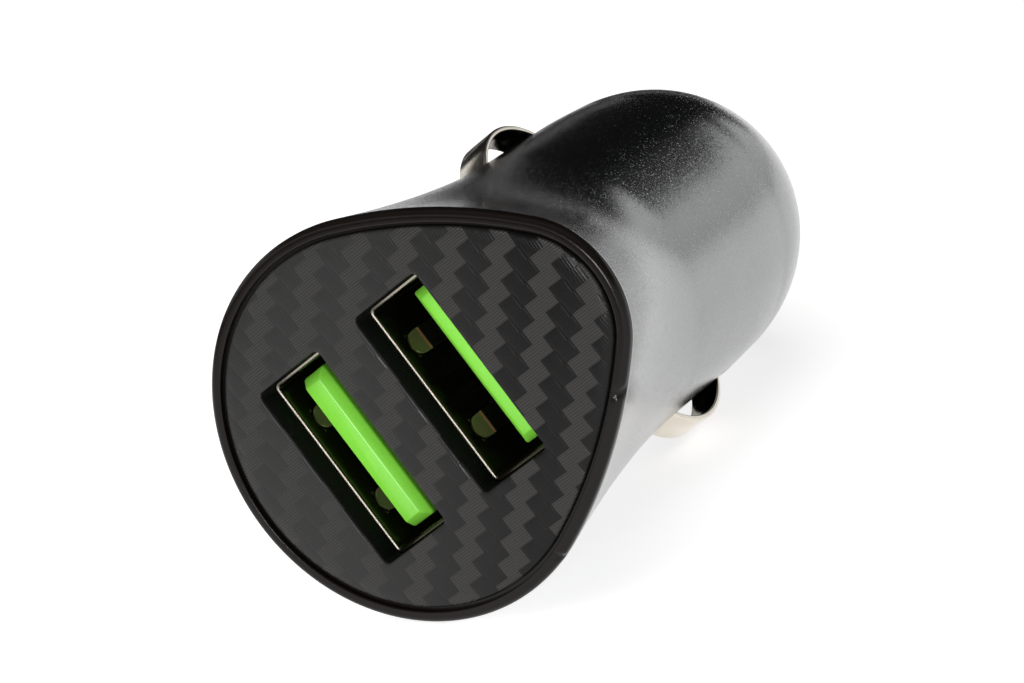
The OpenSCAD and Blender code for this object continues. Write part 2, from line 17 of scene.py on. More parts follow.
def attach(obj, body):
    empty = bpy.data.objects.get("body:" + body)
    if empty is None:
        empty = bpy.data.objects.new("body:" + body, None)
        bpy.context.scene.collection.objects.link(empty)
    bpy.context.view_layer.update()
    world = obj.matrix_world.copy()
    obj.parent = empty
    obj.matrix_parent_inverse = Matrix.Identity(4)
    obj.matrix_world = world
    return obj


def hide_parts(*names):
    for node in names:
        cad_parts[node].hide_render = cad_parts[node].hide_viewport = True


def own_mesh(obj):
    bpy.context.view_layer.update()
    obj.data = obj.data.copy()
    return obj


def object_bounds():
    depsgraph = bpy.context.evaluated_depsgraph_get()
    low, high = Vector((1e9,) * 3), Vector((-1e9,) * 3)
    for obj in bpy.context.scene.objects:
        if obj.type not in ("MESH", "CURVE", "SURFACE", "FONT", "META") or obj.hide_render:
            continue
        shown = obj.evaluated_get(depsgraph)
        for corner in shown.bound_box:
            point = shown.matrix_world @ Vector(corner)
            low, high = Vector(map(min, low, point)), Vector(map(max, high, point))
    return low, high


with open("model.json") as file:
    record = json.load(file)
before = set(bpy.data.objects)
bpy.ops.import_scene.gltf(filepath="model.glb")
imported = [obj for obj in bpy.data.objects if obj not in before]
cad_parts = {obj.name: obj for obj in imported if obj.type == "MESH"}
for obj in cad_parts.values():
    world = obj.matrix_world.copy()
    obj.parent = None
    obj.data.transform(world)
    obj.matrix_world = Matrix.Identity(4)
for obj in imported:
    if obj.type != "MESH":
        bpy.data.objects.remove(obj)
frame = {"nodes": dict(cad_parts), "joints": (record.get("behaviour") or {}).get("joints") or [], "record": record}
CAD_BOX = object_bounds()
RECORD = frame["record"]
NODES = frame["nodes"]
SCENE = bpy.context.scene

# Where the plug lies: its axes in the row frame, from the record
MOUNTS = {mount["name"]: mount for mount in RECORD["mounts"]}
JOINTS = {joint["name"]: joint for joint in frame["joints"]}
AXIS_Y = Vector(MOUNTS["barrel"]["axis"]).normalized()
AXIS_Z = Vector(JOINTS["right_clip_flex"]["axis"]).normalized()
AXIS_X = AXIS_Y.cross(AXIS_Z)
TURN = Matrix((AXIS_X, AXIS_Y, AXIS_Z)).transposed()
CLIP_Y = 28.3
PLACE = Matrix.Scale(0.001, 4) @ TURN.to_4x4() @ Matrix.Translation((0, -CLIP_Y, 0))

# Face outline: a round part, two flanks and a lobe
FACE_R, LOBE_R, FLANK_R = 12.95, 6.6, 34.5
LOBE_Z, FLANK_X, FLANK_Z = 11.5, 20.05, -7.903
FLANK_FROM = math.atan2(-FLANK_Z, FLANK_X)
FLANK_DIR = math.atan2(LOBE_Z - FLANK_Z, FLANK_X)

# Neck: from the face's outline to the round barrel
NECK_Y, NECK_END, NECK_POWER = 0.7, 22.5, 1.55

# Barrel with its bore, the taper before its shoulder, and the elliptic shoulder
BARREL_R, BORE_R, WALL, TAPER_Y = 10.45, 9.5, 0.8, 33.0
SHOULDER_Y, SHOULDER_LEN, SHOULDER_R, SHOULDER_IN = 38.0, 10.5, 3.7, 6.6

# Nose ring: where the metal ends, its own end, the bore it sits in and the bore's step
NOSE_SPLIT, NOSE_END, NOSE_BORE, STEP_Y = 44.8, 48.0, 7.6, 38.6

# Bezel: rim, lip under the plate, groove round it, floor, and skirt inside the metal wall
RIM_W, RIM_ROUND, LIP_T, LIP_W, GROOVE_W, PLATE_T = 0.75, 0.4, 0.4, 0.85, 0.22, 1.9
FLOOR_END, SKIRT = 3.9, WALL + 0.05

# Ports: the height of each, and 1 or -1 for which way up it is
PORTS = {"upper": (4.75, 1), "lower": (-4.2, -1)}
PORT_ZS = [z for z, _ in PORTS.values()]


def around(count):
    """Evenly spaced angles of a full turn."""
    return np.arange(count) * 2 * math.pi / count


ANGLES = around(240)


def reach(cx, cz, r, a):
    """Distance from the origin to a circle, along the direction a."""
    d = cx * np.cos(a) + cz * np.sin(a)
    return d + np.sqrt(np.maximum(0, r * r - cx * cx - cz * cz + d * d))


def face_at(a, inset=0.0):
    """Radius of the face's outline at the direction a, inset by some millimetres."""
    b = np.arcsin(np.clip(np.sin(a), -1, 1))
    lobe_reach = LOBE_R - inset
    lobe_from = math.atan2(
        LOBE_Z + lobe_reach * math.sin(FLANK_DIR), lobe_reach * math.cos(FLANK_DIR)
    )
    flank = reach(-FLANK_X, FLANK_Z, FLANK_R - inset, b)
    lobe = reach(0, LOBE_Z, lobe_reach, b)
    return np.where(b < FLANK_FROM, FACE_R - inset, np.where(b < lobe_from, flank, lobe))


def share_at(y):
    """Share of the face's outline that is left at the depth y."""
    along = min(1.0, max(0.0, (y - NECK_Y) / (NECK_END - NECK_Y)))
    return (1 - along) ** NECK_POWER


def round_ring(r, y, angles=ANGLES):
    """Ring of points about the barrel's axis; r is one radius, or one for each angle."""
    return np.stack([r * np.cos(angles), np.full(len(angles), float(y)), r * np.sin(angles)], 1)


def ring_at(y, inset=0.0, angles=ANGLES):
    """Ring on the outside of the neck, inset by some millimetres."""
    share = share_at(y)
    r = (BARREL_R - inset) * (1 - share) + face_at(angles, inset) * share
    return round_ring(r, y, angles)


def shoulder_at(y):
    """Radius of the shoulder, which goes on over the nose ring."""
    along = (y - SHOULDER_Y) / SHOULDER_LEN
    return SHOULDER_R + SHOULDER_IN * math.sqrt(max(0.0, 1 - along**2))


def barrel_at(y):
    """Radius of the barrel, which eases in a little to meet the shoulder."""
    share = min(1.0, max(0.0, (y - TAPER_Y) / (SHOULDER_Y - TAPER_Y)))
    return BARREL_R + (SHOULDER_R + SHOULDER_IN - BARREL_R) * share**2


def corner(centre, radius, start, end, steps=5):
    """Points of an arc between two directions in degrees."""
    turns = [math.radians(start + (end - start) * k / steps) for k in range(steps + 1)]
    return [(centre[0] + radius * math.cos(a), centre[1] + radius * math.sin(a)) for a in turns]


def rounded(w, h, r, cx=0.0, cz=0.0, steps=6):
    """Loop of (x, z) points round a rectangle with round corners."""
    points = []
    for sx, sz, start in ((1, 1, 0), (-1, 1, 90), (-1, -1, 180), (1, -1, 270)):
        centre = (cx + sx * (w / 2 - r), cz + sz * (h / 2 - r))
        points += corner(centre, r, start, start + 90, steps)
    return points


def flat_ring(loop, y):
    """Loop of (x, z) points, laid at the depth y."""
    return np.array([(x, y, z) for x, z in loop])


def mesh_object(name, verts, faces):
    """Object with its doubled points merged and its faces turned outwards."""
    mesh = bpy.data.meshes.new(name)
    mesh.from_pydata([tuple(map(float, v)) for v in verts], [], faces)
    work = bmesh.new()
    work.from_mesh(mesh)
    bmesh.ops.remove_doubles(work, verts=work.verts, dist=1e-5)
    bmesh.ops.recalc_face_normals(work, faces=work.faces)
    work.to_mesh(mesh)
    work.free()
    obj = bpy.data.objects.new(name, mesh)
    SCENE.collection.objects.link(obj)
    return obj


def lofted(name, rings, closed=False):
    """Solid through rings of equally many points; closed joins the last to the first."""
    n, count = len(rings[0]), len(rings)
    faces = []
    for m in range(count if closed else count - 1):
        a, b = m * n, (m + 1) % count * n
        faces += [(a + k, a + (k + 1) % n, b + (k + 1) % n, b + k) for k in range(n)]
    if not closed:
        faces += [tuple(range(n - 1, -1, -1)), tuple((count - 1) * n + k for k in range(n))]
    return mesh_object(name, np.concatenate(rings), faces)


def turned(name, profile, sides=128):
    """Solid of revolution about the plug's axis from (radius, depth) points."""
    angles = around(sides)
    return lofted(name, [round_ring(r, y, angles) for r, y in profile], closed=True)


def settle(obj):
    """Applies the object's modifiers to its mesh."""
    shown = obj.evaluated_get(bpy.context.evaluated_depsgraph_get())
    mesh = bpy.data.meshes.new_from_object(shown)
    obj.modifiers.clear()
    obj.data = mesh
    return obj


def combine(obj, others, operation="DIFFERENCE"):
    """Cuts the other solids from obj, or joins them to it, and removes them."""
    for other in others:
        step = obj.modifiers.new("combine", "BOOLEAN")
        step.operation = operation
        step.solver = "EXACT"
        step.object = other
        settle(obj)
        bpy.data.objects.remove(other)
    return obj


def bevelled(obj, width, angle):
    """Rounds the edges that turn by more than an angle in degrees."""
    step = obj.modifiers.new("bevel", "BEVEL")
    step.width = width
    step.segments = 1
    step.limit_method = "ANGLE"
    step.angle_limit = math.radians(angle)
    return settle(obj)


def seat(obj, body, material, nodes=(), sharp=38):
    """Lays a finished piece on the table, ties it to its body and hides its CAD nodes."""
    mesh = obj.data
    points = np.zeros(len(mesh.vertices) * 3, np.float32)
    mesh.vertices.foreach_get("co", points)
    kept = mesh.attributes.new("plug_pos", "FLOAT_VECTOR", "POINT")
    kept.data.foreach_set("vector", points)
    mesh.transform(PLACE)
    mesh.shade_smooth()
    mesh.set_sharp_from_angle(angle=math.radians(sharp))
    mesh.materials.clear()
    mesh.materials.append(material)
    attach(obj, body)
    if nodes:
        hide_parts(*nodes)
    return obj


# Cells of a sparkle glint where their chance is above these values
GLINT_CHANCE = (0.86, 0.9)


class Shader:
    """A material's node tree, with short calls for the nodes that are used here.

    pos is the place in millimetres: in the plug's frame, or in the row's for a CAD node.
    """

    def __init__(self, name, cad=False):
        self.material = bpy.data.materials.new(name)
        self.material.use_nodes = True
        self.tree = self.material.node_tree
        self.tree.nodes.clear()
        self.out = self.node("ShaderNodeOutputMaterial")
        if cad:
            place = self.node("ShaderNodeTexCoord").outputs["Object"]
            self.pos = self.vector("SCALE", place, Scale=1000.0)
        else:
            self.pos = self.node(
                "ShaderNodeAttribute", attribute_type="GEOMETRY", attribute_name="plug_pos"
            ).outputs["Vector"]

    def node(self, kind, **props):
        """New node with some of its properties set."""
        made = self.tree.nodes.new(kind)
        for key, value in props.items():
            setattr(made, key, value)
        return made

    def feed(self, socket, value):
        """Links a socket to a node's output, or sets its plain value."""
        if isinstance(value, bpy.types.NodeSocket):
            self.tree.links.new(value, socket)
        else:
            socket.default_value = value

    def fed(self, kind, operation, values):
        """New node that works on some values."""
        made = self.node(kind, operation=operation)
        for socket, value in zip(made.inputs, values):
            self.feed(socket, value)
        return made

    def math(self, operation, *values):
        return self.fed("ShaderNodeMath", operation, values).outputs[0]

    def plus(self, a, b):
        return self.math("ADD", a, b)

    def minus(self, a, b):
        return self.math("SUBTRACT", a, b)

    def times(self, a, b):
        return self.math("MULTIPLY", a, b)

    def vector(self, operation, *values, **named):
        """Vector result of a vector sum."""
        made = self.fed("ShaderNodeVectorMath", operation, values)
        for key, value in named.items():
            self.feed(made.inputs[key], value)
        return made.outputs["Vector"]

    def measure(self, operation, *values):
        """Plain result of a vector sum, such as a length."""
        return self.fed("ShaderNodeVectorMath", operation, values).outputs["Value"]

    def beyond(self, azimuth, side):
        """How far a place or direction lies on one side of an upright plane at an azimuth."""
        a = math.radians(azimuth)
        normal = (side * math.cos(a), -side * math.sin(a), 0)
        return self.measure("DOT_PRODUCT", self.pos, normal)

    def split(self, value):
        """The three parts of a vector or a colour."""
        made = self.node("ShaderNodeSeparateXYZ")
        self.feed(made.inputs[0], value)
        return made.outputs

    def noise(self, scale, detail=2.0, rough=0.5, pos=None):
        """Noise of a number of features a millimetre."""
        made = self.node("ShaderNodeTexNoise", noise_dimensions="3D")
        self.feed(made.inputs["Vector"], self.pos if pos is None else pos)
        made.inputs["Scale"].default_value = scale
        made.inputs["Detail"].default_value = detail
        made.inputs["Roughness"].default_value = rough
        return made.outputs[0]

    def sparkle(self, scale, tilt, glint):
        """Normal tilted at random in each of a number of cells a millimetre; a few glint."""
        cells = self.node("ShaderNodeTexVoronoi", feature="F1")
        self.feed(cells.inputs["Vector"], self.pos)
        cells.inputs["Scale"].default_value = scale
        chance = self.split(cells.outputs["Color"])[0]
        size = self.span(chance, *GLINT_CHANCE, tilt, glint)
        push = self.vector("SUBTRACT", cells.outputs["Color"], (0.5, 0.5, 0.5))
        push = self.vector("SCALE", push, Scale=size)
        flat = self.node("ShaderNodeNewGeometry").outputs["Normal"]
        return self.vector("NORMALIZE", self.vector("ADD", flat, push))

    def span(self, value, low, high, to_low=0.0, to_high=1.0):
        """Maps the values from low to high, and no further, to another range."""
        made = self.node("ShaderNodeMapRange")
        for socket, given in zip(made.inputs, (value, low, high, to_low, to_high)):
            self.feed(socket, given)
        return made.outputs[0]

    def mix(self, share, a, b):
        """Colour between a and b."""
        made = self.node("ShaderNodeMix", data_type="RGBA")
        self.feed(made.inputs[0], share)
        self.feed(made.inputs[6], a)
        self.feed(made.inputs[7], b)
        return made.outputs[2]

    def bump(self, height, millimetres, normal=None):
        """Normal of a fine relief that is some millimetres high."""
        made = self.node("ShaderNodeBump")
        made.inputs["Distance"].default_value = millimetres * 0.001
        made.inputs["Strength"].default_value = 1.0
        self.feed(made.inputs["Height"], height)
        if normal is not None:
            self.feed(made.inputs["Normal"], normal)
        return made.outputs[0]

    def finish(self, color, rough, normal=None, **plain):
        """The shader itself; plain values are set on its own sockets."""
        made = self.node("ShaderNodeBsdfPrincipled")
        self.feed(made.inputs["Base Color"], color)
        self.feed(made.inputs["Roughness"], rough)
        if normal is not None:
            self.feed(made.inputs["Normal"], normal)
        for key, value in plain.items():
            self.feed(made.inputs[key.replace("_", " ")], value)
        self.tree.links.new(made.outputs[0], self.out.inputs[0])
        return self.material


def grey(value, warm=0.0):
    """Linear grey, a little warmer or, below 0, cooler."""
    return (value * (1 + warm), value, value * (1 - warm), 1.0)


def dimmed(color, share):
    """The same colour at a share of its brightness."""
    return tuple(c * share for c in color[:3]) + (1.0,)


# Noise keeps mostly between these values
GRAIN = (0.3, 0.7)


def anodised():
    """Bead-blasted aluminium, anodised dark, with a fine sparkle."""
    s = Shader("dark_aluminium")
    cloud = s.noise(0.35, 3.0)
    grain = s.noise(11.0, 3.0, 0.65)
    base = s.mix(cloud, grey(0.27, -0.01), grey(0.30, -0.01))
    rough = s.span(grain, *GRAIN, 0.15, 0.21)
    normal = s.bump(grain, 0.0015, s.sparkle(16.0, 0.06, 0.42))
    return s.finish(base, rough, normal, Metallic=1.0)


def moulded(name, color, rough=0.45, cad=False, gloss=0.5, texture=0.006):
    """Moulded plastic with a faint orange peel and slight stains of tone."""
    s = Shader(name, cad)
    cloud = s.noise(0.4, 3.0)
    fine = s.noise(6.0, 2.0)
    tone = s.mix(cloud, dimmed(color, 0.82), color)
    spread = s.span(fine, *GRAIN, rough - 0.05, rough + 0.05)
    return s.finish(tone, spread, s.bump(fine, texture), Specular_IOR_Level=gloss)


# Weave of the plate: upright floats, each column a step lower than the one before. Below a
# float come two rows of floats that lie across, and then the column's next upright float.
CELL_X, CELL_Z = 1.03, 1.14
FLOAT_LEN, HIGH_ROW, PERIOD = 2.03, 3.3, 4 * CELL_Z
WEAVE_X0, WEAVE_Z0 = -0.92, 14.28
RELIEF = 0.028
# Fine ridges along each float: how many, and how high in millimetres
RIDGES_UP, RIDGES_ACROSS, RIDGE_RELIEF = 6, 7, 0.022
# Tones of the floats away from the lobe and near it, which are painted reflection of one plastic whose ridges run
# two ways; painted shade in the valleys and on the walls inside
DARK_FLOATS = grey(0.029, 0.02), grey(0.002, 0.02)
LIGHT_FLOATS = grey(0.040, 0.03), grey(0.038, 0.07)
VALLEY_SHADE, PLATE_SIDE_SHADE = grey(0.004), grey(0.0015)
PLATE_IN_SHADE = 0.12


def dome(t, power):
    """Rises from 0 at both ends of t to 1 in the middle."""
    return 1 - np.abs(2 * np.clip(t, 0, 1) - 1) ** power


def float_back(across, along):
    """Height of a float, flat over its width and rounder along its length."""
    return dome(across, 6) * (0.35 + 0.65 * dome(along, 3))


def weave_height(x, z):
    """Relief of the woven pattern, from 0 in the seams to 1 on a float's back."""
    u = (x - WEAVE_X0) / CELL_X
    col = np.floor(u)
    fu = u - col
    below = np.mod(WEAVE_Z0 - col * CELL_Z - z, PERIOD)
    first = (below >= FLOAT_LEN) & (below < HIGH_ROW)
    first_row = (below - FLOAT_LEN) / (HIGH_ROW - FLOAT_LEN)
    second_row = (below - HIGH_ROW) / (PERIOD - HIGH_ROW)
    upright = float_back(fu, below / FLOAT_LEN)
    lying = float_back(
        np.where(first, first_row, second_row), np.where(first, (1 + fu) / 2, fu / 2)
    )
    return np.where(below < FLOAT_LEN, upright, lying)


def weave_nodes(s, x, z):
    """Whether a point lies on an upright float, and the wave of the ridges along the floats."""
    u = s.math("DIVIDE", s.minus(x, WEAVE_X0), CELL_X)
    col = s.math("FLOOR", u)
    fu = s.math("FRACT", u)
    top = s.minus(WEAVE_Z0, s.times(col, CELL_Z))
    turns = s.math("DIVIDE", s.minus(top, z), PERIOD)
    below = s.times(s.math("FRACT", turns), PERIOD)
    upright = s.math("LESS_THAN", below, FLOAT_LEN)
    wave_up = s.math("COSINE", s.times(fu, 2 * math.pi * RIDGES_UP))
    row = s.math("DIVIDE", s.minus(below, FLOAT_LEN), HIGH_ROW - FLOAT_LEN)
    wave_across = s.math("COSINE", s.times(row, 2 * math.pi * RIDGES_ACROSS))
    ridges = s.plus(s.times(wave_up, upright), s.times(wave_across, s.minus(1.0, upright)))
    return upright, ridges


def woven():
    """Plastic with a moulded twill; painted reflection parts its floats in tone towards the lobe."""
    s = Shader("woven_plate")
    x, y, z = s.split(s.pos)
    upright, ridges = weave_nodes(s, x, z)
    fine = s.noise(7.0, 3.0)
    # Painted reflection: upright and lying floats get two tones, which part more towards the lobe
    lobe_side = s.plus(s.times(x, 0.6), s.times(z, 0.67))
    near_lobe = s.span(s.plus(lobe_side, s.noise(0.3, 2.0)), -2.0, 8.5)
    dark = s.mix(near_lobe, *DARK_FLOATS)
    light = s.mix(near_lobe, *LIGHT_FLOATS)
    tone = s.mix(upright, dark, light)
    # Painted shade in the valleys between the ridges
    tone = s.mix(s.span(ridges, -1.0, 0.6, 0.62, 1.0), VALLEY_SHADE, tone)
    # Painted shade on the cut-out walls, deeper than PLATE_IN_SHADE behind the front
    inside = s.span(y, PLATE_IN_SHADE, 2 * PLATE_IN_SHADE)
    color = s.mix(inside, tone, PLATE_SIDE_SHADE)
    height = s.times(ridges, s.span(upright, 0.0, 1.0, 0.14, 0.5))
    normal = s.bump(fine, 0.002, s.bump(height, RIDGE_RELIEF))
    rough = s.plus(s.span(fine, *GRAIN, 0.27, 0.36), s.times(inside, 0.4))
    return s.finish(color, rough, normal, Specular_IOR_Level=0.21)


# Tones of the port shells; a pair is what the rolling marks mix
SHEARED_STEEL, FOLD_COPPER = (0.46, 0.42, 0.35, 1), (0.75, 0.36, 0.16, 1)
# Painted shade inside the shell, mixed by the rolling marks
SHADED_INNER_STEEL = (0.050, 0.045, 0.030, 1), (0.075, 0.066, 0.045, 1)
# Painted light on the fingers' fronts, olive as a painted reflection of the green tongue
LIT_FINGER_STEEL = (0.16, 0.19, 0.07, 1), (0.22, 0.25, 0.09, 1)
SHADED_STEEL = (0.008, 0.007, 0.004, 1)
# Across the shell, from where painted shade covers its +x end wall and rim
SHADED_END_WALL = (6.0, 6.3)


def rolled_marks(s):
    """Noise stretched along the plug, as rolled or drawn sheet shows it."""
    return s.noise(1.0, 3.0, 0.6, s.vector("MULTIPLY", s.pos, (6.0, 0.7, 6.0)))


def finger_masks(s, across, depth):
    """Whether a point lies on a finger's front, and whether it lies behind its fold."""
    off = s.math("ABSOLUTE", s.minus(s.math("ABSOLUTE", across), FINGER_X))
    on_tab = s.math("LESS_THAN", off, TAB_W / 2 + 0.02)
    on_tab = s.times(on_tab, s.math("GREATER_THAN", depth, TAB_FRONT - 0.02))
    front = s.math("LESS_THAN", depth, FOLD_Y)
    return s.times(on_tab, front), s.times(on_tab, s.minus(1.0, front))


def port_steel():
    """Stamped steel: bright at the sheared front edge, with painted shade inside and at its +x end, and painted
    light on the fingers, copper towards their fold.
    """
    s = Shader("port_steel")
    across, depth, _ = s.split(s.pos)
    marks = rolled_marks(s)
    inside = s.span(depth, SHELL_Y + 0.01, SHELL_Y + 0.07)
    # Painted shade also over the +x end wall and its rim
    inside = s.math("MAXIMUM", inside, s.span(across, *SHADED_END_WALL))
    finger, hidden = finger_masks(s, across, depth)
    fold = s.times(s.span(depth, FOLD_Y - 0.22, FOLD_Y - 0.1), 0.8)
    # Painted light on the fingers' fronts, olive as a painted reflection of the tongue, copper towards the fold
    lit_finger = s.mix(fold, s.mix(marks, *LIT_FINGER_STEEL), FOLD_COPPER)
    # Painted shade inside the shell, darkest behind the fingers' folds
    inner_shade = s.mix(hidden, s.mix(marks, *SHADED_INNER_STEEL), SHADED_STEEL)
    tone = s.mix(inside, SHEARED_STEEL, s.mix(finger, inner_shade, lit_finger))
    metal = s.minus(s.span(finger, 0.0, 1.0, 0.92, 0.55), s.times(hidden, 0.92))
    rough = s.plus(s.span(marks, *GRAIN, 0.14, 0.22), s.span(inside, 0.0, 1.0, 0.25, 0.0))
    rough = s.plus(rough, s.times(hidden, 0.6))
    return s.finish(tone, rough, s.bump(marks, 0.0008), Metallic=metal)


def plated(name, color, rough=0.25, cad=False, scratch=0.003):
    """Plated sheet metal with faint rolling marks."""
    s = Shader(name, cad)
    marks = rolled_marks(s)
    tone = s.mix(s.noise(0.8, 3.0), dimmed(color, 0.8), color)
    spread = s.span(marks, *GRAIN, rough - 0.06, rough + 0.08)
    return s.finish(tone, spread, s.bump(marks, scratch), Metallic=1.0)


# Tones of the tongues, the painted shade that they darken to deep in the port, and the depths between which it is
# painted
LIME = (0.24, 0.75, 0.06, 1), (0.27, 0.81, 0.07, 1)
SHADED_GREEN, SHADE_DEPTHS = (0.012, 0.03, 0.004, 1), (3.6, 6.5)


def green_plastic():
    """Half-gloss lime plastic with painted shade that darkens it with the depth in the port."""
    s = Shader("green_plastic")
    fine = s.noise(5.0, 2.0)
    tone = s.mix(s.noise(0.7, 3.0), *LIME)
    # Painted shade: the tongue darkens with the depth in the port
    tone = s.mix(s.span(s.split(s.pos)[1], *SHADE_DEPTHS), tone, SHADED_GREEN)
    rough = s.span(fine, *GRAIN, 0.26, 0.36)
    return s.finish(tone, rough, s.bump(fine, 0.004), Coat_Weight=0.1, Coat_Roughness=0.12)


def laminate():
    """Solder mask over laminate, with a faint weave of glass."""
    s = Shader("board_laminate", cad=True)
    weave = s.noise(3.0, 2.0)
    tone = s.mix(weave, (0.02, 0.12, 0.05, 1), (0.035, 0.18, 0.08, 1))
    return s.finish(tone, s.span(weave, *GRAIN, 0.28, 0.4), s.bump(weave, 0.006))


GOLD, NICKEL, CERAMIC = (0.85, 0.62, 0.28, 1), (0.86, 0.80, 0.70, 1), (0.72, 0.68, 0.58, 1)
BEZEL_BLACK = (0.008, 0.006, 0.005, 1)


def make_materials():
    """All the materials by name; those with cad are for nodes carried over from the CAD."""
    return {
        "dark_aluminium": anodised(),
        "bezel_plastic": moulded("bezel_plastic", BEZEL_BLACK, 0.2, gloss=0.2, texture=0.002),
        "woven_plate": woven(),
        "inner_plastic": moulded("inner_plastic", grey(0.03), 0.5),
        "port_steel": port_steel(),
        "green_plastic": green_plastic(),
        "clip_nickel": plated("clip_nickel", NICKEL, 0.16, scratch=0.001),
        "spring_steel": plated("spring_steel", grey(0.6), 0.3),
        "cad_inner_plastic": moulded("cad_inner_plastic", grey(0.03), 0.5, cad=True),
        "board_laminate": laminate(),
        "ferrite": moulded("ferrite", grey(0.06), 0.7, cad=True, texture=0.02),
        "capacitor_can": plated("capacitor_can", grey(0.75), 0.3, cad=True),
        "chip_resin": moulded("chip_resin", grey(0.02), 0.6, cad=True),
        "ceramic": moulded("ceramic", CERAMIC, 0.3, cad=True),
        "leaf_metal": plated("leaf_metal", GOLD, 0.25),
        "contact_metal": plated("contact_metal", GOLD, 0.25, cad=True),
    }


# Clip windows: half width, rounding, depths, and the radii that their cutter spans
WINDOW_HW, WINDOW_ROUND, WINDOW_FROM, WINDOW_TO = 1.65, 0.5, 22.6, 34.5
WINDOW_REACH = (5.0, 12.0)


def window_cutter(side):
    """Cutter for the window that a clip stands out of."""
    middle, length = (WINDOW_TO + WINDOW_FROM) / 2, WINDOW_TO - WINDOW_FROM
    loop = [(z, middle + y) for z, y in rounded(2 * WINDOW_HW, length, WINDOW_ROUND)]
    return lofted("window", [np.array([(side * x, y, z) for z, y in loop]) for x in WINDOW_REACH])


def metal_body():
    """Neck and barrel in one piece, with a window on each side for the clips."""
    end = shoulder_at(NOSE_SPLIT)
    rings = [ring_at(NECK_Y, 0.09), ring_at(NECK_Y + 0.03, 0.025), ring_at(NECK_Y + 0.1, 0.0)]
    rings += [ring_at(y) for y in np.linspace(NECK_Y + 0.5, NECK_END, 44)]
    barrel_ys = np.linspace(NECK_END + 0.7, SHOULDER_Y - 0.6, 20)
    rings += [round_ring(barrel_at(y), y) for y in barrel_ys]
    shoulder_ys = np.linspace(SHOULDER_Y, NOSE_SPLIT - 0.1, 16)
    rings += [round_ring(shoulder_at(y), y) for y in shoulder_ys]
    rings += [round_ring(end - 0.06, NOSE_SPLIT - 0.01), round_ring(end - 0.14, NOSE_SPLIT)]
    rings += [round_ring(NOSE_BORE, NOSE_SPLIT), round_ring(NOSE_BORE, STEP_Y)]
    rings += [round_ring(BORE_R, STEP_Y), round_ring(BORE_R, NECK_END)]
    rings += [ring_at(y, WALL) for y in np.linspace(NECK_END - 1, NECK_Y, 20)]
    body = lofted("metal_body", rings, closed=True)
    return combine(body, [window_cutter(side) for side in (-1, 1)])


# The rim's two small nicks: direction in degrees, half width and depth; they lie at NICK_Y
# and fade over NICK_REACH
NICKS, NICK_Y, NICK_REACH = ((64.88, 0.30, 0.20), (16.38, 0.22, 0.16)), 0.12, 0.35


def nicked(ring, depth):
    """Pushes a ring of the rim in at the nicks; depth is how far the ring lies from them."""
    angles = np.degrees(np.arctan2(ring[:, 2], ring[:, 0]))
    radius = np.hypot(ring[:, 0], ring[:, 2])
    for angle, width, deep in NICKS:
        away = np.radians(angles - angle) * radius
        pull = deep * np.exp(-((away / width) ** 2)) * math.exp(-((depth / NICK_REACH) ** 2))
        ring[:, 0] *= 1 - pull / radius
        ring[:, 2] *= 1 - pull / radius
        ring[:, 1] += pull * 0.5
    return ring


def rim_angles():
    """The ring's angles, with more of them at the nicks."""
    near = [math.radians(a + d * 0.35) for a, _, _ in NICKS for d in range(-8, 9)]
    far = [a for a in ANGLES if all(abs(a - math.radians(n)) > 0.06 for n, _, _ in NICKS)]
    return np.array(sorted(near + far))


# Floor's opening for a port: width, height, rounding, and the depths that it is cut between
SLOT_W, SLOT_H, SLOT_ROUND, SLOT_DEPTHS = 13.3, 5.92, 0.22, (0.9, 5.0)


def slot_cutter(z):
    """Cutter for the opening that a port's shell passes through."""
    loop = rounded(SLOT_W, SLOT_H, SLOT_ROUND, cz=z)
    return lofted("slot", [flat_ring(loop, y) for y in SLOT_DEPTHS])


def bezel_ring():
    """Rim with a floor that carries the plate and passes the ports."""
    angles = rim_angles()

    def rings_at(*places):
        return [ring_at(y, inset, angles) for y, inset in places]

    deep, lip_edge = RIM_W + GROOVE_W + LIP_W - 0.05, 0.09
    lip = corner((RIM_W - lip_edge, lip_edge), lip_edge, 0, -90, 4)
    rim = corner((RIM_ROUND, RIM_ROUND), RIM_ROUND, -90, -180, 8)
    rings = rings_at((PLATE_T, deep), (LIP_T, deep), (LIP_T, RIM_W))
    rings += [ring_at(y, inset, angles) for inset, y in lip]
    rings += [nicked(ring_at(y, inset, angles), abs(y - NICK_Y)) for inset, y in rim]
    rings += rings_at((0.55, 0), (NECK_Y - 0.06, 0), (NECK_Y - 0.01, 0.04), (NECK_Y, 0.12))
    rings += rings_at((NECK_Y, SKIRT), (FLOOR_END - 0.1, SKIRT), (FLOOR_END, SKIRT + 0.1))
    bezel = lofted("bezel_ring", rings)
    return combine(bezel, [slot_cutter(z) for z in PORT_ZS])


# Plate: its inset from the face's outline, the port cut-outs, and how its front rolls off
# towards its edge, with a small rounding at the edge itself, and the same round the cut-outs
PLATE_IN = RIM_W + GROOVE_W
PORT_W, PORT_H, PORT_ROUND = 13.1, 5.5, 0.4
ROLL_W, ROLL_DEPTH, EDGE_W, EDGE_DEPTH = 1.1, 0.16, 0.14, 0.1
SLOT_ROLL_W, SLOT_ROLL_DEPTH, SLOT_EDGE_W, SLOT_EDGE_DEPTH = 0.35, 0.03, 0.1, 0.06
# Extra rings of points near the edge and near the cut-outs
EDGE_RINGS, SLOT_RINGS = (0.03, 0.07, 0.14), (0.025, 0.06, 0.1)


def slot_distance(x, z, cz):
    """Distance from a port's cut-out, negative inside it."""
    qx = np.abs(x) - (PORT_W / 2 - PORT_ROUND)
    qz = np.abs(z - cz) - (PORT_H / 2 - PORT_ROUND)
    outside = np.hypot(np.maximum(qx, 0), np.maximum(qz, 0))
    return outside + np.minimum(np.maximum(qx, qz), 0) - PORT_ROUND


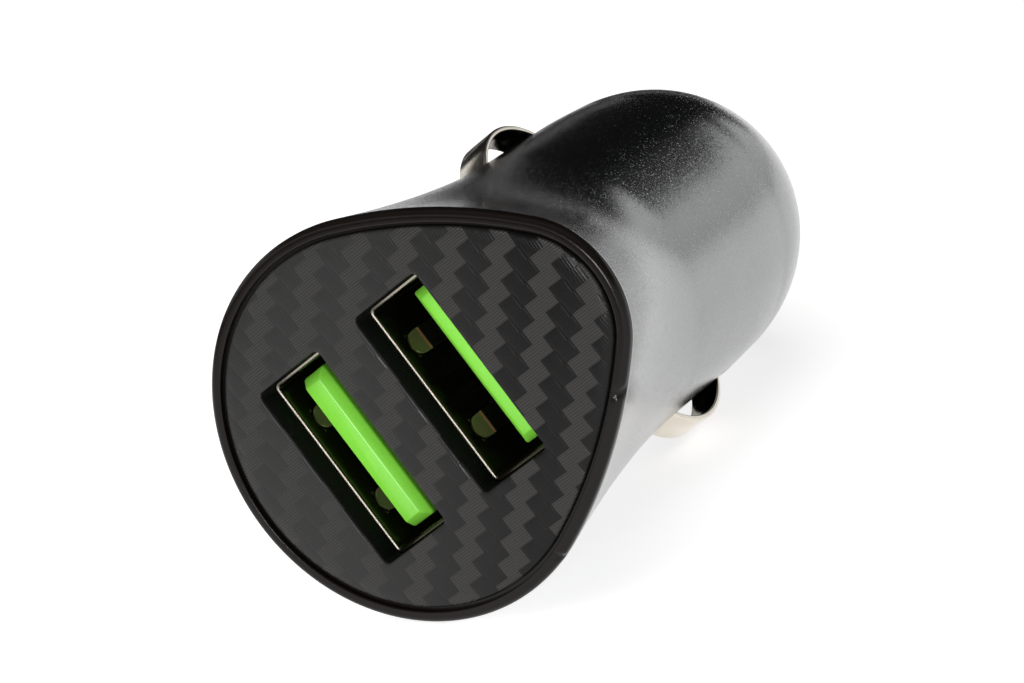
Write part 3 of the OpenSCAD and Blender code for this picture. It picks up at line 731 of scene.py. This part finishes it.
def eased(distance, width):
    """From 1 at an edge down to 0 at a width from it."""
    return np.clip(1 - distance / width, 0, 1) ** 2


def plate_front(x, z):
    """Depth of the plate's front surface: the weave, rolled off towards its edges."""
    from_edge = face_at(np.arctan2(z, x), PLATE_IN) - np.hypot(x, z)
    roll = ROLL_DEPTH * eased(from_edge, ROLL_W)
    edge = EDGE_DEPTH * eased(from_edge, EDGE_W)
    for cz in PORT_ZS:
        near = slot_distance(x, z, cz)
        edge = edge + SLOT_EDGE_DEPTH * eased(near, SLOT_EDGE_W)
        roll = roll + SLOT_ROLL_DEPTH * eased(near, SLOT_ROLL_W)
    fade = np.clip(from_edge / 0.15, 0, 1)
    return RELIEF * (1 - weave_height(x, z) * fade) + roll + edge


def weave_points():
    """Points of the front surface: rows and columns that follow the floats."""
    across = (0.015, 0.1, 0.3, 0.5, 0.7, 0.9, 0.985)
    spans = ((0, FLOAT_LEN, 9), (FLOAT_LEN, HIGH_ROW, 5), (HIGH_ROW, PERIOD, 5))
    downs = []
    for start, end, steps in spans:
        inner = np.concatenate([[0.012, 0.08], np.linspace(0.2, 0.8, steps - 2), [0.92, 0.988]])
        downs += list(start + inner * (end - start))
    points = []
    for col in range(-13, 15):
        for turn in range(-6, 7):
            top = WEAVE_Z0 - col * CELL_Z - turn * PERIOD
            if not -16 < top < 23:
                continue
            for f in across:
                x = WEAVE_X0 + (col + f) * CELL_X
                points += [(x, top - d) for d in downs]
    return np.array(points)


def filled(loops, inner, outside):
    """Triangles between a loop and its holes, through inner points; also the loops' ids."""
    coords, edges = [], []
    for loop in loops:
        start, n = len(coords), len(loop)
        coords += [tuple(p) for p in loop]
        edges += [(start + k, start + (k + 1) % n) for k in range(n)]
    coords += [tuple(p) for p in inner]
    verts, _, faces, origin, _, _ = geometry.delaunay_2d_cdt(
        [Vector(p) for p in coords], edges, [], 0, 1e-6, True
    )
    place = {}
    for new, olds in enumerate(origin):
        for old in olds:
            place[old] = new
    flat = np.array([(v.x, v.y) for v in verts])
    kept = [f for f in faces if not outside(*flat[list(f)].mean(0))]
    ids, start = [], 0
    for loop in loops:
        ids.append([place[start + k] for k in range(len(loop))])
        start += len(loop)
    return flat, kept, ids


def in_slot(x, z):
    """Whether a point lies in one of the port cut-outs."""
    return any(slot_distance(x, z, cz) < 0 for cz in PORT_ZS)


def dense_loop(loop, step=0.2):
    """Adds points along the straight sides of a loop."""
    points = []
    for (x0, z0), (x1, z1) in zip(loop, loop[1:] + loop[:1]):
        parts = max(1, int(math.hypot(x1 - x0, z1 - z0) / step))
        points += [(x0 + (x1 - x0) * k / parts, z0 + (z1 - z0) * k / parts) for k in range(parts)]
    return points


def plate_outline(inset, count=480):
    """Loop inside the face's outline."""
    a = around(count)
    r = face_at(a, inset)
    return list(zip(r * np.cos(a), r * np.sin(a)))


def slot_loop(cz, margin=0.0):
    """Dense loop round a port's cut-out, some millimetres outside it."""
    loop = rounded(PORT_W + 2 * margin, PORT_H + 2 * margin, PORT_ROUND + margin, cz=cz)
    return dense_loop([p for k, p in enumerate(loop) if p != loop[k - 1]])


def front_points():
    """Points inside the plate's front: the weave's, and rings along the edges."""
    inner = weave_points()
    a, r = np.arctan2(inner[:, 1], inner[:, 0]), np.hypot(inner[:, 0], inner[:, 1])
    keep = face_at(a, PLATE_IN + 0.17) > r
    for cz in PORT_ZS:
        keep &= slot_distance(inner[:, 0], inner[:, 1], cz) > 0.12
    rings = [p for d in EDGE_RINGS for p in plate_outline(PLATE_IN + d)]
    for cz in PORT_ZS:
        for d in SLOT_RINGS:
            rings += slot_loop(cz, d)
    return np.concatenate([inner[keep], np.array(rings)])


def add_wall(verts, faces, above, loop, y):
    """Adds a wall from a loop of vertices to a loop of points at a depth, whose ids it gives."""
    start, n = len(verts), len(loop)
    verts.extend((x, y, z) for x, z in loop)
    below = list(range(start, start + n))
    ahead = [(k + 1) % n for k in range(n)]
    faces.extend((above[k], above[m], below[m], below[k]) for k, m in enumerate(ahead))
    return below


def woven_plate():
    """Faceplate with a moulded twill and two cut-outs."""
    slots = [slot_loop(cz) for cz in PORT_ZS]
    flat, front, ids = filled([plate_outline(PLATE_IN)] + slots, front_points(), in_slot)
    depth = plate_front(flat[:, 0], flat[:, 1])
    verts = [(x, y, z) for (x, z), y in zip(flat, depth)]
    faces = [tuple(f) for f in front]
    under_lip = plate_outline(PLATE_IN + LIP_W)
    rim = add_wall(verts, faces, ids[0], plate_outline(PLATE_IN), LIP_T)
    step = add_wall(verts, faces, rim, under_lip, LIP_T)
    back = [add_wall(verts, faces, step, under_lip, PLATE_T)]
    back += [add_wall(verts, faces, above, loop, PLATE_T) for above, loop in zip(ids[1:], slots)]
    _, rear, rear_ids = filled([under_lip] + slots, [], in_slot)
    at = {new: old for news, olds in zip(rear_ids, back) for new, old in zip(news, olds)}
    faces += [tuple(at[k] for k in f) for f in rear]
    return mesh_object("woven_plate", verts, faces)


# Port shell: its sheet, and its rolled lip as depths behind its front with their insets
SHELL_W, SHELL_H, SHELL_T, SHELL_Y, SHELL_END = 13.1, 5.72, 0.3, 2.0, 11.4
SHELL_LIP = ((0.14, 0), (0.05, 0.03), (0, 0.09), (0, 0.17), (0.05, 0.26), (0.14, SHELL_T))
# Gaps round the spring fingers, and the fingers themselves with their fold
FINGER_X, FINGER_W, FINGER_FRONT, FINGER_ROOT, FINGER_REACH = 3.2, 1.9, 2.98, 6.6, (1.9, 3.4)
TAB_W, TAB_T, TAB_FRONT, FOLD_Y, FOLD_RISE = 1.62, 0.2, 3.2, 4.4, 0.45
# Legs and pins: PORT_STAND is from a port's middle to the board, PIN_BELOW goes through it
LEG_YS = {"upper": 6.6, "lower": 8.8}
LEG_W, LEG_TAPER, PORT_STAND, PIN_BELOW = 1.6, 0.35, 3.675, 2.0


def tab_depths():
    """Depths of a finger's rows: close together at its round front."""
    half = TAB_W / 2
    return sorted(set(np.concatenate([
        TAB_FRONT + half * (1 - np.cos(np.linspace(0.12, math.pi / 2, 7))),
        np.linspace(TAB_FRONT + half + 0.1, FOLD_Y + 0.1, 3)[:2],
        np.linspace(FOLD_Y, FINGER_ROOT + 0.15, 9),
    ])))


def tab(x, side):
    """Spring finger: rises from its root to a fold, then bends back to its free end."""
    half, thick = TAB_W / 2, TAB_T / 2
    rows = []
    for y in tab_depths():
        near = max(0.0, TAB_FRONT + half - y)
        wide = math.sqrt(max(0.01, half * half - near * near)) if near else half
        front = (y - TAB_FRONT) / (FOLD_Y - TAB_FRONT)
        back = (FINGER_ROOT - y) / (FINGER_ROOT - FOLD_Y)
        z = SHELL_H / 2 - SHELL_T / 2 - FOLD_RISE * max(0.0, min(front, back, 1.0))
        loop = [(x - wide, z + thick), (x + wide, z + thick)]
        loop += [(x + wide, z - thick), (x - wide, z - thick)]
        rows.append(np.array([(px, y, side * pz) for px, pz in loop]))
    return bevelled(lofted("tab", rows), 0.03, 60)


def finger_gap(x, side):
    """Cutter for the gap round a finger: round at its front, straight at its root."""
    arc = corner((x, FINGER_FRONT + FINGER_W / 2), FINGER_W / 2, 180, 360, 14)
    loop = arc + [(x + FINGER_W / 2, FINGER_ROOT), (x - FINGER_W / 2, FINGER_ROOT)]
    return lofted("gap", [np.array([(px, y, side * z) for px, y in loop]) for z in FINGER_REACH])


def tapered(start, end, top, taper):
    """Outline of a leg from its top down through the board, with its end's corners cut."""
    low = -PORT_STAND - PIN_BELOW
    return [
        (start, top), (start, low + taper), (start + taper, low),
        (end - taper, low), (end, low + taper), (end, top),
    ]


def shell_leg(port, side):
    """Leg from the shell's side wall."""
    y = LEG_YS[port]
    outline = tapered(y, y + LEG_W, -SHELL_H / 2 + 0.6, LEG_TAPER)
    walls = (side * (SHELL_W / 2 - SHELL_T), side * SHELL_W / 2)
    return lofted("leg", [np.array([(x, py, z) for py, z in outline]) for x in walls])


def port_shell(port):
    """Steel shell with spring fingers in its wide walls and two legs."""
    lip = [(SHELL_Y + behind, inset) for behind, inset in SHELL_LIP]
    rings = []
    for y, inset in [(SHELL_END, 0)] + lip + [(SHELL_END, SHELL_T)]:
        loop = rounded(SHELL_W - 2 * inset, SHELL_H - 2 * inset, max(0.12, 0.45 - inset))
        rings.append(flat_ring(loop, y))
    shell = lofted(port + "_shell", rings, closed=True)
    fingers = [(x, side) for x in (-FINGER_X, FINGER_X) for side in (-1, 1)]
    combine(shell, [finger_gap(x, side) for x, side in fingers])
    tabs = [tab(x, side) for x, side in fingers]
    legs = [shell_leg(port, side) for side in (-1, 1)]
    return at_port(combine(shell, tabs + legs, "UNION"), port)


def at_port(obj, port):
    """Places a port's part at its own height, turned over for the lower port."""
    height, up = PORTS[port]
    obj.data.transform(Matrix.Translation((0, 0, height)) @ Matrix.Diagonal((1, 1, up, 1)))
    if up < 0:
        obj.data.flip_normals()
    return obj


# Tongues: height, width, thickness and depths, the bevels at their ends and fronts, the block
# behind them and the end of their foot
TONGUE_Z, TONGUE_W, TONGUE_T, TONGUE_Y, TONGUE_END = 0.69, 11.4, 1.84, 2.8, 10.2
TONGUE_ENDS, FOOT_END = 0.55, 12.6
BEVELS = {"upper": 0.5, "lower": 0.52}
BLOCK_W, BLOCK_H = SHELL_W - 2 * SHELL_T - 0.2, SHELL_H - 2 * SHELL_T - 0.2


def tongue(port):
    """Green tongue with a bevelled front."""
    bevel, ends = BEVELS[port], TONGUE_ENDS
    sections = (
        (0, ends + 0.05, bevel + 0.05, 0.1, 0.1),
        (0.03, ends, bevel, 0.05, 0.13),
        (0.09, ends - 0.08, bevel - 0.1, 0.012, 0.14),
        (bevel - 0.06, 0.06, 0.07, 0.0, 0.15),
        (bevel + 0.03, 0.012, 0.015, 0.0, 0.15),
        (bevel + 0.15, 0.0, 0.0, 0.0, 0.15),
        (TONGUE_END + 0.4 - TONGUE_Y, 0.0, 0.0, 0.0, 0.15),
    )
    rings = []
    for behind, end_in, under_in, over_in, r in sections:
        w, h = TONGUE_W - 2 * end_in, TONGUE_T - under_in - over_in
        middle = TONGUE_Z + (under_in - over_in) / 2
        rings.append(flat_ring(rounded(w, h, r, cz=middle, steps=4), TONGUE_Y + behind))
    return lofted(port + "_tongue", rings)


def tongue_block():
    """Block that fills the shell behind the tongue."""
    return lofted("block", [
        flat_ring(rounded(BLOCK_W - 0.2, BLOCK_H - 0.2, 0.2, steps=4), TONGUE_END),
        flat_ring(rounded(BLOCK_W, BLOCK_H, 0.25, steps=4), TONGUE_END + 0.1),
        flat_ring(rounded(BLOCK_W, BLOCK_H, 0.25, steps=4), SHELL_END + 0.05),
    ])


def tongue_foot():
    """Foot that stands on the board behind the shell."""
    low, high, w = -PORT_STAND, BLOCK_H / 2 - 0.6, BLOCK_W - 0.7
    middle = (high + low) / 2
    loop = rounded(w, high - low, 0.2, cz=middle, steps=4)
    end = rounded(w - 0.2, high - low - 0.2, 0.15, cz=middle, steps=4)
    return lofted("foot", [
        flat_ring(loop, SHELL_END - 0.2), flat_ring(loop, FOOT_END - 0.1), flat_ring(end, FOOT_END)
    ])


def insulator(port):
    """Green tongue, the block behind it and its foot."""
    return at_port(combine(tongue(port), [tongue_block(), tongue_foot()], "UNION"), port)


# Contacts: where each lies, and how its front end dips into the tongue
CONTACT_XS, CONTACT_W, CONTACT_T = (-3.5, -1, 1, 3.5), 0.9, 0.25
CONTACT_Z, CONTACT_FROM = -0.205, 3.95
CONTACT_DIP = ((0.0, 0.16), (0.08, 0.09), (0.18, 0.03), (0.3, 0.005), (0.45, 0.0))
TAIL_YS, TAIL_TAPER = {"upper": 13.0, "lower": 14.2}, 0.12


def contact_pin(x, y):
    """Pin at a contact's back."""
    outline = tapered(x - CONTACT_W / 3, x + CONTACT_W / 3, CONTACT_Z, TAIL_TAPER)
    return lofted("pin", [flat_ring(outline, y), flat_ring(outline, y + CONTACT_T)])


def contact_leaf(port, k):
    """Strip on the tongue, its front end dipped into the plastic, with its pin."""
    x, tail = CONTACT_XS[k - 1], TAIL_YS[port]
    ends = [(CONTACT_FROM + y, dip) for y, dip in CONTACT_DIP] + [(tail + CONTACT_T, 0.0)]
    loop = rounded(CONTACT_W, CONTACT_T, 0.06, cx=x, cz=CONTACT_Z, steps=3)
    rings = [np.array([(px, y, pz + dip) for px, pz in loop]) for y, dip in ends]
    strip = lofted(f"{port}_leaf_{k}", rings)
    return at_port(combine(strip, [contact_pin(x, tail)], "UNION"), port)


# Side clips: a strip from root to tail that lies at CLIP_MID from the axis, and its bow
CLIP_MID, CLIP_T, CLIP_W, CLIP_ROOT, CLIP_TAIL = 8.7, 0.4, 2.5, 17.15, 34.5
CREST_Y, BOW_X, BOW_R, BOW_BLEND = 28.7, 6.42, 5.38, 0.42


def clip_rows():
    """Depths along a clip, close together on its bow, and its distance from the axis there."""
    ys = np.concatenate([
        np.linspace(CLIP_ROOT, WINDOW_FROM, 10),
        np.linspace(WINDOW_FROM + 0.15, CLIP_TAIL - 0.3, 90),
        [CLIP_TAIL - 0.1, CLIP_TAIL],
    ])
    arc = BOW_X + np.sqrt(np.maximum(BOW_R**2 - (ys - CREST_Y) ** 2, 0))
    xs = (CLIP_MID + arc + np.sqrt((CLIP_MID - arc) ** 2 + BOW_BLEND**2)) / 2
    xs = xs - (xs.max() - (BOW_X + BOW_R))
    return ys, np.maximum(xs, CLIP_MID)


def side_clip(name, side):
    """Spring strip that bows out through its window, with round edges."""
    ys, xs = clip_rows()
    loop = rounded(CLIP_T, CLIP_W, 0.13, steps=4)
    rings = []
    for x, y, slope in zip(xs, ys, np.gradient(xs, ys)):
        long = math.hypot(1, slope)
        rings.append(
            np.array([(side * (x + u / long), y - u * slope / long, v) for u, v in loop])
        )
    return lofted(name, rings)


# The spring stands on its foot and presses on the tip's flange
SPRING_FOOT, FLANGE_Y = 34.95, 40.9


def nose_ring():
    """Plastic ring that closes the barrel and guides the tip."""
    hole, cavity, sleeve, seat_r = 2.85, 3.95, 5.2, NOSE_BORE - 0.05
    split, ledge = NOSE_SPLIT + 0.05, 42.15
    edge = shoulder_at(NOSE_END)
    profile = [(cavity, SPRING_FOOT + 0.05), (sleeve, SPRING_FOOT + 0.05)]
    profile += [(sleeve, STEP_Y + 0.2), (seat_r, STEP_Y + 0.2)]
    profile += [(seat_r, split), (shoulder_at(split) - 0.1, split)]
    profile += [(shoulder_at(y), y) for y in np.linspace(split + 0.08, NOSE_END - 0.12, 14)]
    profile += [(edge - 0.05, NOSE_END - 0.02), (edge - 0.2, NOSE_END)]
    profile += [(hole + 0.15, NOSE_END), (hole, NOSE_END - 0.15), (hole, ledge), (cavity, ledge)]
    return turned("nose_closing_ring", profile)


def tip():
    """Domed centre contact with the flange that its spring presses on."""
    end, r, flange_r, boss_r, flange_t, boss_t, edge = 52.2, 2.6, 3.7, 2.0, 1.2, 1.3, 0.1
    flange_end = FLANGE_Y + flange_t
    dome_h = r * 0.7
    profile = [(0.02, FLANGE_Y - boss_t), (boss_r - 0.15, FLANGE_Y - boss_t)]
    profile += [(boss_r, FLANGE_Y - boss_t + 0.15), (boss_r, FLANGE_Y)]
    profile += [(flange_r - edge, FLANGE_Y), (flange_r, FLANGE_Y + edge)]
    profile += [(flange_r, flange_end - edge), (flange_r - edge, flange_end), (r, flange_end)]
    for a in np.radians(np.linspace(0, 89, 16)):
        profile.append((r * math.cos(a), end - dome_h + dome_h * math.sin(a)))
    return turned("centre_tip", profile, 96)


def tip_spring():
    """Round wire wound with closed ends."""
    turns, wire, coil_r, steps, free = 5, 0.225, 2.475, 160, 0.05
    low, high = SPRING_FOOT + wire + free, FLANGE_Y - wire - free
    rings = []
    for t in np.arange(steps + 1) / steps:
        eased = t - 0.05 * math.sin(2 * math.pi * t)
        a = 2 * math.pi * turns * t
        out = np.array([math.cos(a), 0, math.sin(a)])
        centre = coil_r * out + [0, low + (high - low) * eased, 0]
        rings.append(np.array([
            centre + wire * (math.cos(b) * out + math.sin(b) * np.array([0, 1, 0]))
            for b in around(10)
        ]))
    return lofted("tip_coil", rings)


def dress_plug(skin):
    """Makes the pieces that take the place of CAD nodes."""
    seat(metal_body(), "plug", skin["dark_aluminium"], ["housing"], 50)
    seat(bezel_ring(), "plug", skin["bezel_plastic"], ["bezel"])
    seat(woven_plate(), "plug", skin["woven_plate"], ["faceplate"], 60)
    for port in PORTS:
        shell = port_shell(port)
        seat(shell, "plug", skin["port_steel"], [port + "_port_shell"])
        tongue = insulator(port)
        seat(tongue, "plug", skin["green_plastic"], [port + "_port_insulator"])
        for k in range(1, 5):
            leaf = contact_leaf(port, k)
            seat(leaf, "plug", skin["leaf_metal"], [f"{port}_contact_{k}"])
    seat(nose_ring(), "plug", skin["inner_plastic"], ["nose_ring"])
    seat(tip(), "tip", skin["clip_nickel"], ["tip_contact"])
    for name, side in (("left", -1), ("right", 1)):
        strip = side_clip(name + "_strip", side)
        seat(strip, name + "_spring", skin["clip_nickel"], [name + "_clip"])
    coil = seat(tip_spring(), "plug", skin["spring_steel"], ["tip_spring"])
    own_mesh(coil)


INNER = {
    "carrier": "cad_inner_plastic", "main_board": "board_laminate", "inductor": "ferrite",
    "input_capacitor": "capacitor_can", "output_capacitor": "capacitor_can",
    "controller_chip": "chip_resin", "rectifier_diode": "chip_resin", "input_fuse": "ceramic",
    "ground_contact": "contact_metal", "tip_terminal": "contact_metal",
}


def dress_inner(skin):
    """Gives the CAD nodes inside the plug their materials."""
    for name, material in INNER.items():
        node = NODES[name]
        if not node.material_slots:
            node.data.materials.append(skin[material])
        for held in node.material_slots:
            held.material = skin[material]


# Table: half its size in metres, its tone, and the glow that the camera and the metal see
TABLE_HALF = 3.0
TABLE_TONES, MIRRORED_TABLE_SHADE = (grey(0.80), grey(0.82)), grey(0.03)
CAMERA_GLOW, MIRROR_GLOW = 0.72, 0.72
# Painted dark reflection: the metal mirrors the table's far left part darker, through a dark tone and less glow
# that only glossy rays see; from an azimuth, over a reach in millimetres
DIM_FROM, DIM_WIDTH, DIM_REACH = -13, 15.0, (75.0, 150.0)


def table_white():
    """White that the camera sees as white as the photograph's table."""
    s = Shader("table_white", cad=True)
    path = s.node("ShaderNodeLightPath")
    glossy = path.outputs["Is Glossy Ray"]
    # Painted dark reflection: glossy rays see the far left table darker
    dim = s.span(s.measure("LENGTH", s.pos), *DIM_REACH)
    dim = s.times(dim, s.span(s.beyond(DIM_FROM, -1), 0.0, DIM_WIDTH))
    dim = s.times(dim, glossy)
    diffuse = s.node("ShaderNodeBsdfDiffuse")
    s.feed(diffuse.inputs["Color"], s.mix(dim, s.mix(s.noise(0.02, 2.0), *TABLE_TONES), MIRRORED_TABLE_SHADE))
    glow = s.node("ShaderNodeEmission")
    glow.inputs["Color"].default_value = grey(1.0)
    seen = s.times(path.outputs["Is Camera Ray"], CAMERA_GLOW)
    mirrored = s.times(s.minus(glossy, dim), MIRROR_GLOW)
    s.feed(glow.inputs["Strength"], s.plus(seen, mirrored))
    both = s.node("ShaderNodeAddShader")
    s.feed(both.inputs[0], diffuse.outputs[0])
    s.feed(both.inputs[1], glow.outputs[0])
    s.feed(s.out.inputs[0], both.outputs[0])
    return s.material


def make_floor():
    """White table at the height of the plug's lowest point."""
    turns = ((-1, -1), (1, -1), (1, 1), (-1, 1))
    corners = [(x * TABLE_HALF, y * TABLE_HALF, CAD_BOX[0].z) for x, y in turns]
    mesh = bpy.data.meshes.new("table")
    mesh.from_pydata(corners, [], [(0, 1, 2, 3)])
    mesh.materials.append(table_white())
    table = bpy.data.objects.new("table", mesh)
    SCENE.collection.objects.link(table)


# Room: tones by height of a direction, and the dark gap between two azimuths
SKY = ((0.0, 0.72), (0.25, 0.95), (0.36, 0.03), (0.7, 0.05), (1.0, 0.25))
DARK_FROM, DARK_TO, DARK_TONE = -62, 1, 0.01


class Room(Shader):
    """The world's node tree; pos is the direction looked in."""

    def __init__(self, name):
        self.world = bpy.data.worlds.new(name)
        SCENE.world = self.world
        self.world.use_nodes = True
        self.tree = self.world.node_tree
        self.tree.nodes.clear()
        self.out = self.node("ShaderNodeOutputWorld")
        self.pos = self.node("ShaderNodeTexCoord").outputs["Generated"]


def sky_ramp(s, height):
    """Tones of the room's walls and ceiling by the height of a direction."""
    ramp = s.node("ShaderNodeValToRGB")
    s.feed(ramp.inputs[0], height)
    band = ramp.color_ramp.elements
    band[0].position, band[1].position = SKY[0][0], SKY[-1][0]
    for place, _ in SKY[1:-1]:
        band.new(place)
    for element, (_, value) in zip(band, SKY):
        element.color = grey(value)
    return ramp.outputs[0]


def make_world():
    """White room at table height, with a dark gap behind the plug and darker above."""
    s = Room("room")
    height = s.split(s.pos)[2]
    gap = s.span(s.beyond(DARK_TO, -1), -0.02, 0.07)
    gap = s.times(gap, s.span(s.beyond(DARK_FROM, 1), -0.02, 0.04))
    gap = s.times(gap, s.span(height, -0.02, 0.05))
    tone = s.mix(gap, sky_ramp(s, height), grey(DARK_TONE))
    seen = s.node("ShaderNodeLightPath").outputs["Is Camera Ray"]
    back = s.node("ShaderNodeBackground")
    s.feed(back.inputs[0], s.mix(seen, tone, grey(1.0)))
    s.feed(s.out.inputs[0], back.outputs[0])


# Lamps: name, place and size in metres, power in watts, and whether glossy faces show them
LIGHTS = (
    ("overhead", (-0.05, -0.05, 0.6), 0.5, 1.2, False),
    ("front", (-0.22, -0.58, 0.26), 0.3, 1.9, False),
    ("low_front", (0.03, -0.75, 0.10), 0.16, 1.8, True),
)


def make_light(name, place, size, power, mirrored):
    """Soft square lamp that faces the plug."""
    data = bpy.data.lights.new(name, "AREA")
    data.shape = "RECTANGLE"
    data.size = data.size_y = size
    data.energy = power
    lamp = bpy.data.objects.new(name, data)
    lamp.location = place
    lamp.visible_glossy = mirrored
    lamp.rotation_euler = (-Vector(place)).to_track_quat("-Z", "Y").to_euler()
    SCENE.collection.objects.link(lamp)


# Camera: sizes in pixels and millimetres, then its fit in degrees and millimetres
PHOTO_WIDTH, SENSOR = 1024, 36.0
FOCAL_PIXELS = 3536.749
AZIMUTH, ELEVATION, ROLL, DISTANCE = 0.566175, 32.083495, 52.615225, 207.746622
LOOK_AT = Vector((0.269837, 0, 10.113050))


def make_camera():
    """Camera at the photograph's place, from its fit to the plug's face and barrel."""
    az, el, roll = (math.radians(v) for v in (AZIMUTH, ELEVATION, ROLL))
    back = Vector((math.sin(az) * math.cos(el), -math.cos(az) * math.cos(el), math.sin(el)))
    side = (-back).cross(Vector((0, 0, 1))).normalized()
    lift = side.cross(-back)
    right = math.cos(roll) * side + math.sin(roll) * lift
    up = right.cross(-back)
    data = bpy.data.cameras.new("photo_camera")
    data.sensor_fit = "HORIZONTAL"
    data.sensor_width = SENSOR
    data.lens = FOCAL_PIXELS * SENSOR / PHOTO_WIDTH
    data.clip_start = 0.01
    camera = bpy.data.objects.new("photo_camera", data)
    turn = TURN @ Matrix((right, up, back)).transposed()
    camera.matrix_world = Matrix.Translation(PLACE @ (LOOK_AT + DISTANCE * back)) @ turn.to_4x4()
    SCENE.collection.objects.link(camera)
    SCENE.camera = camera


make_camera()
SKIN = make_materials()
dress_plug(SKIN)
dress_inner(SKIN)
make_floor()
make_world()
for light in LIGHTS:
    make_light(*light)
SCENE.view_settings.view_transform = "Standard"
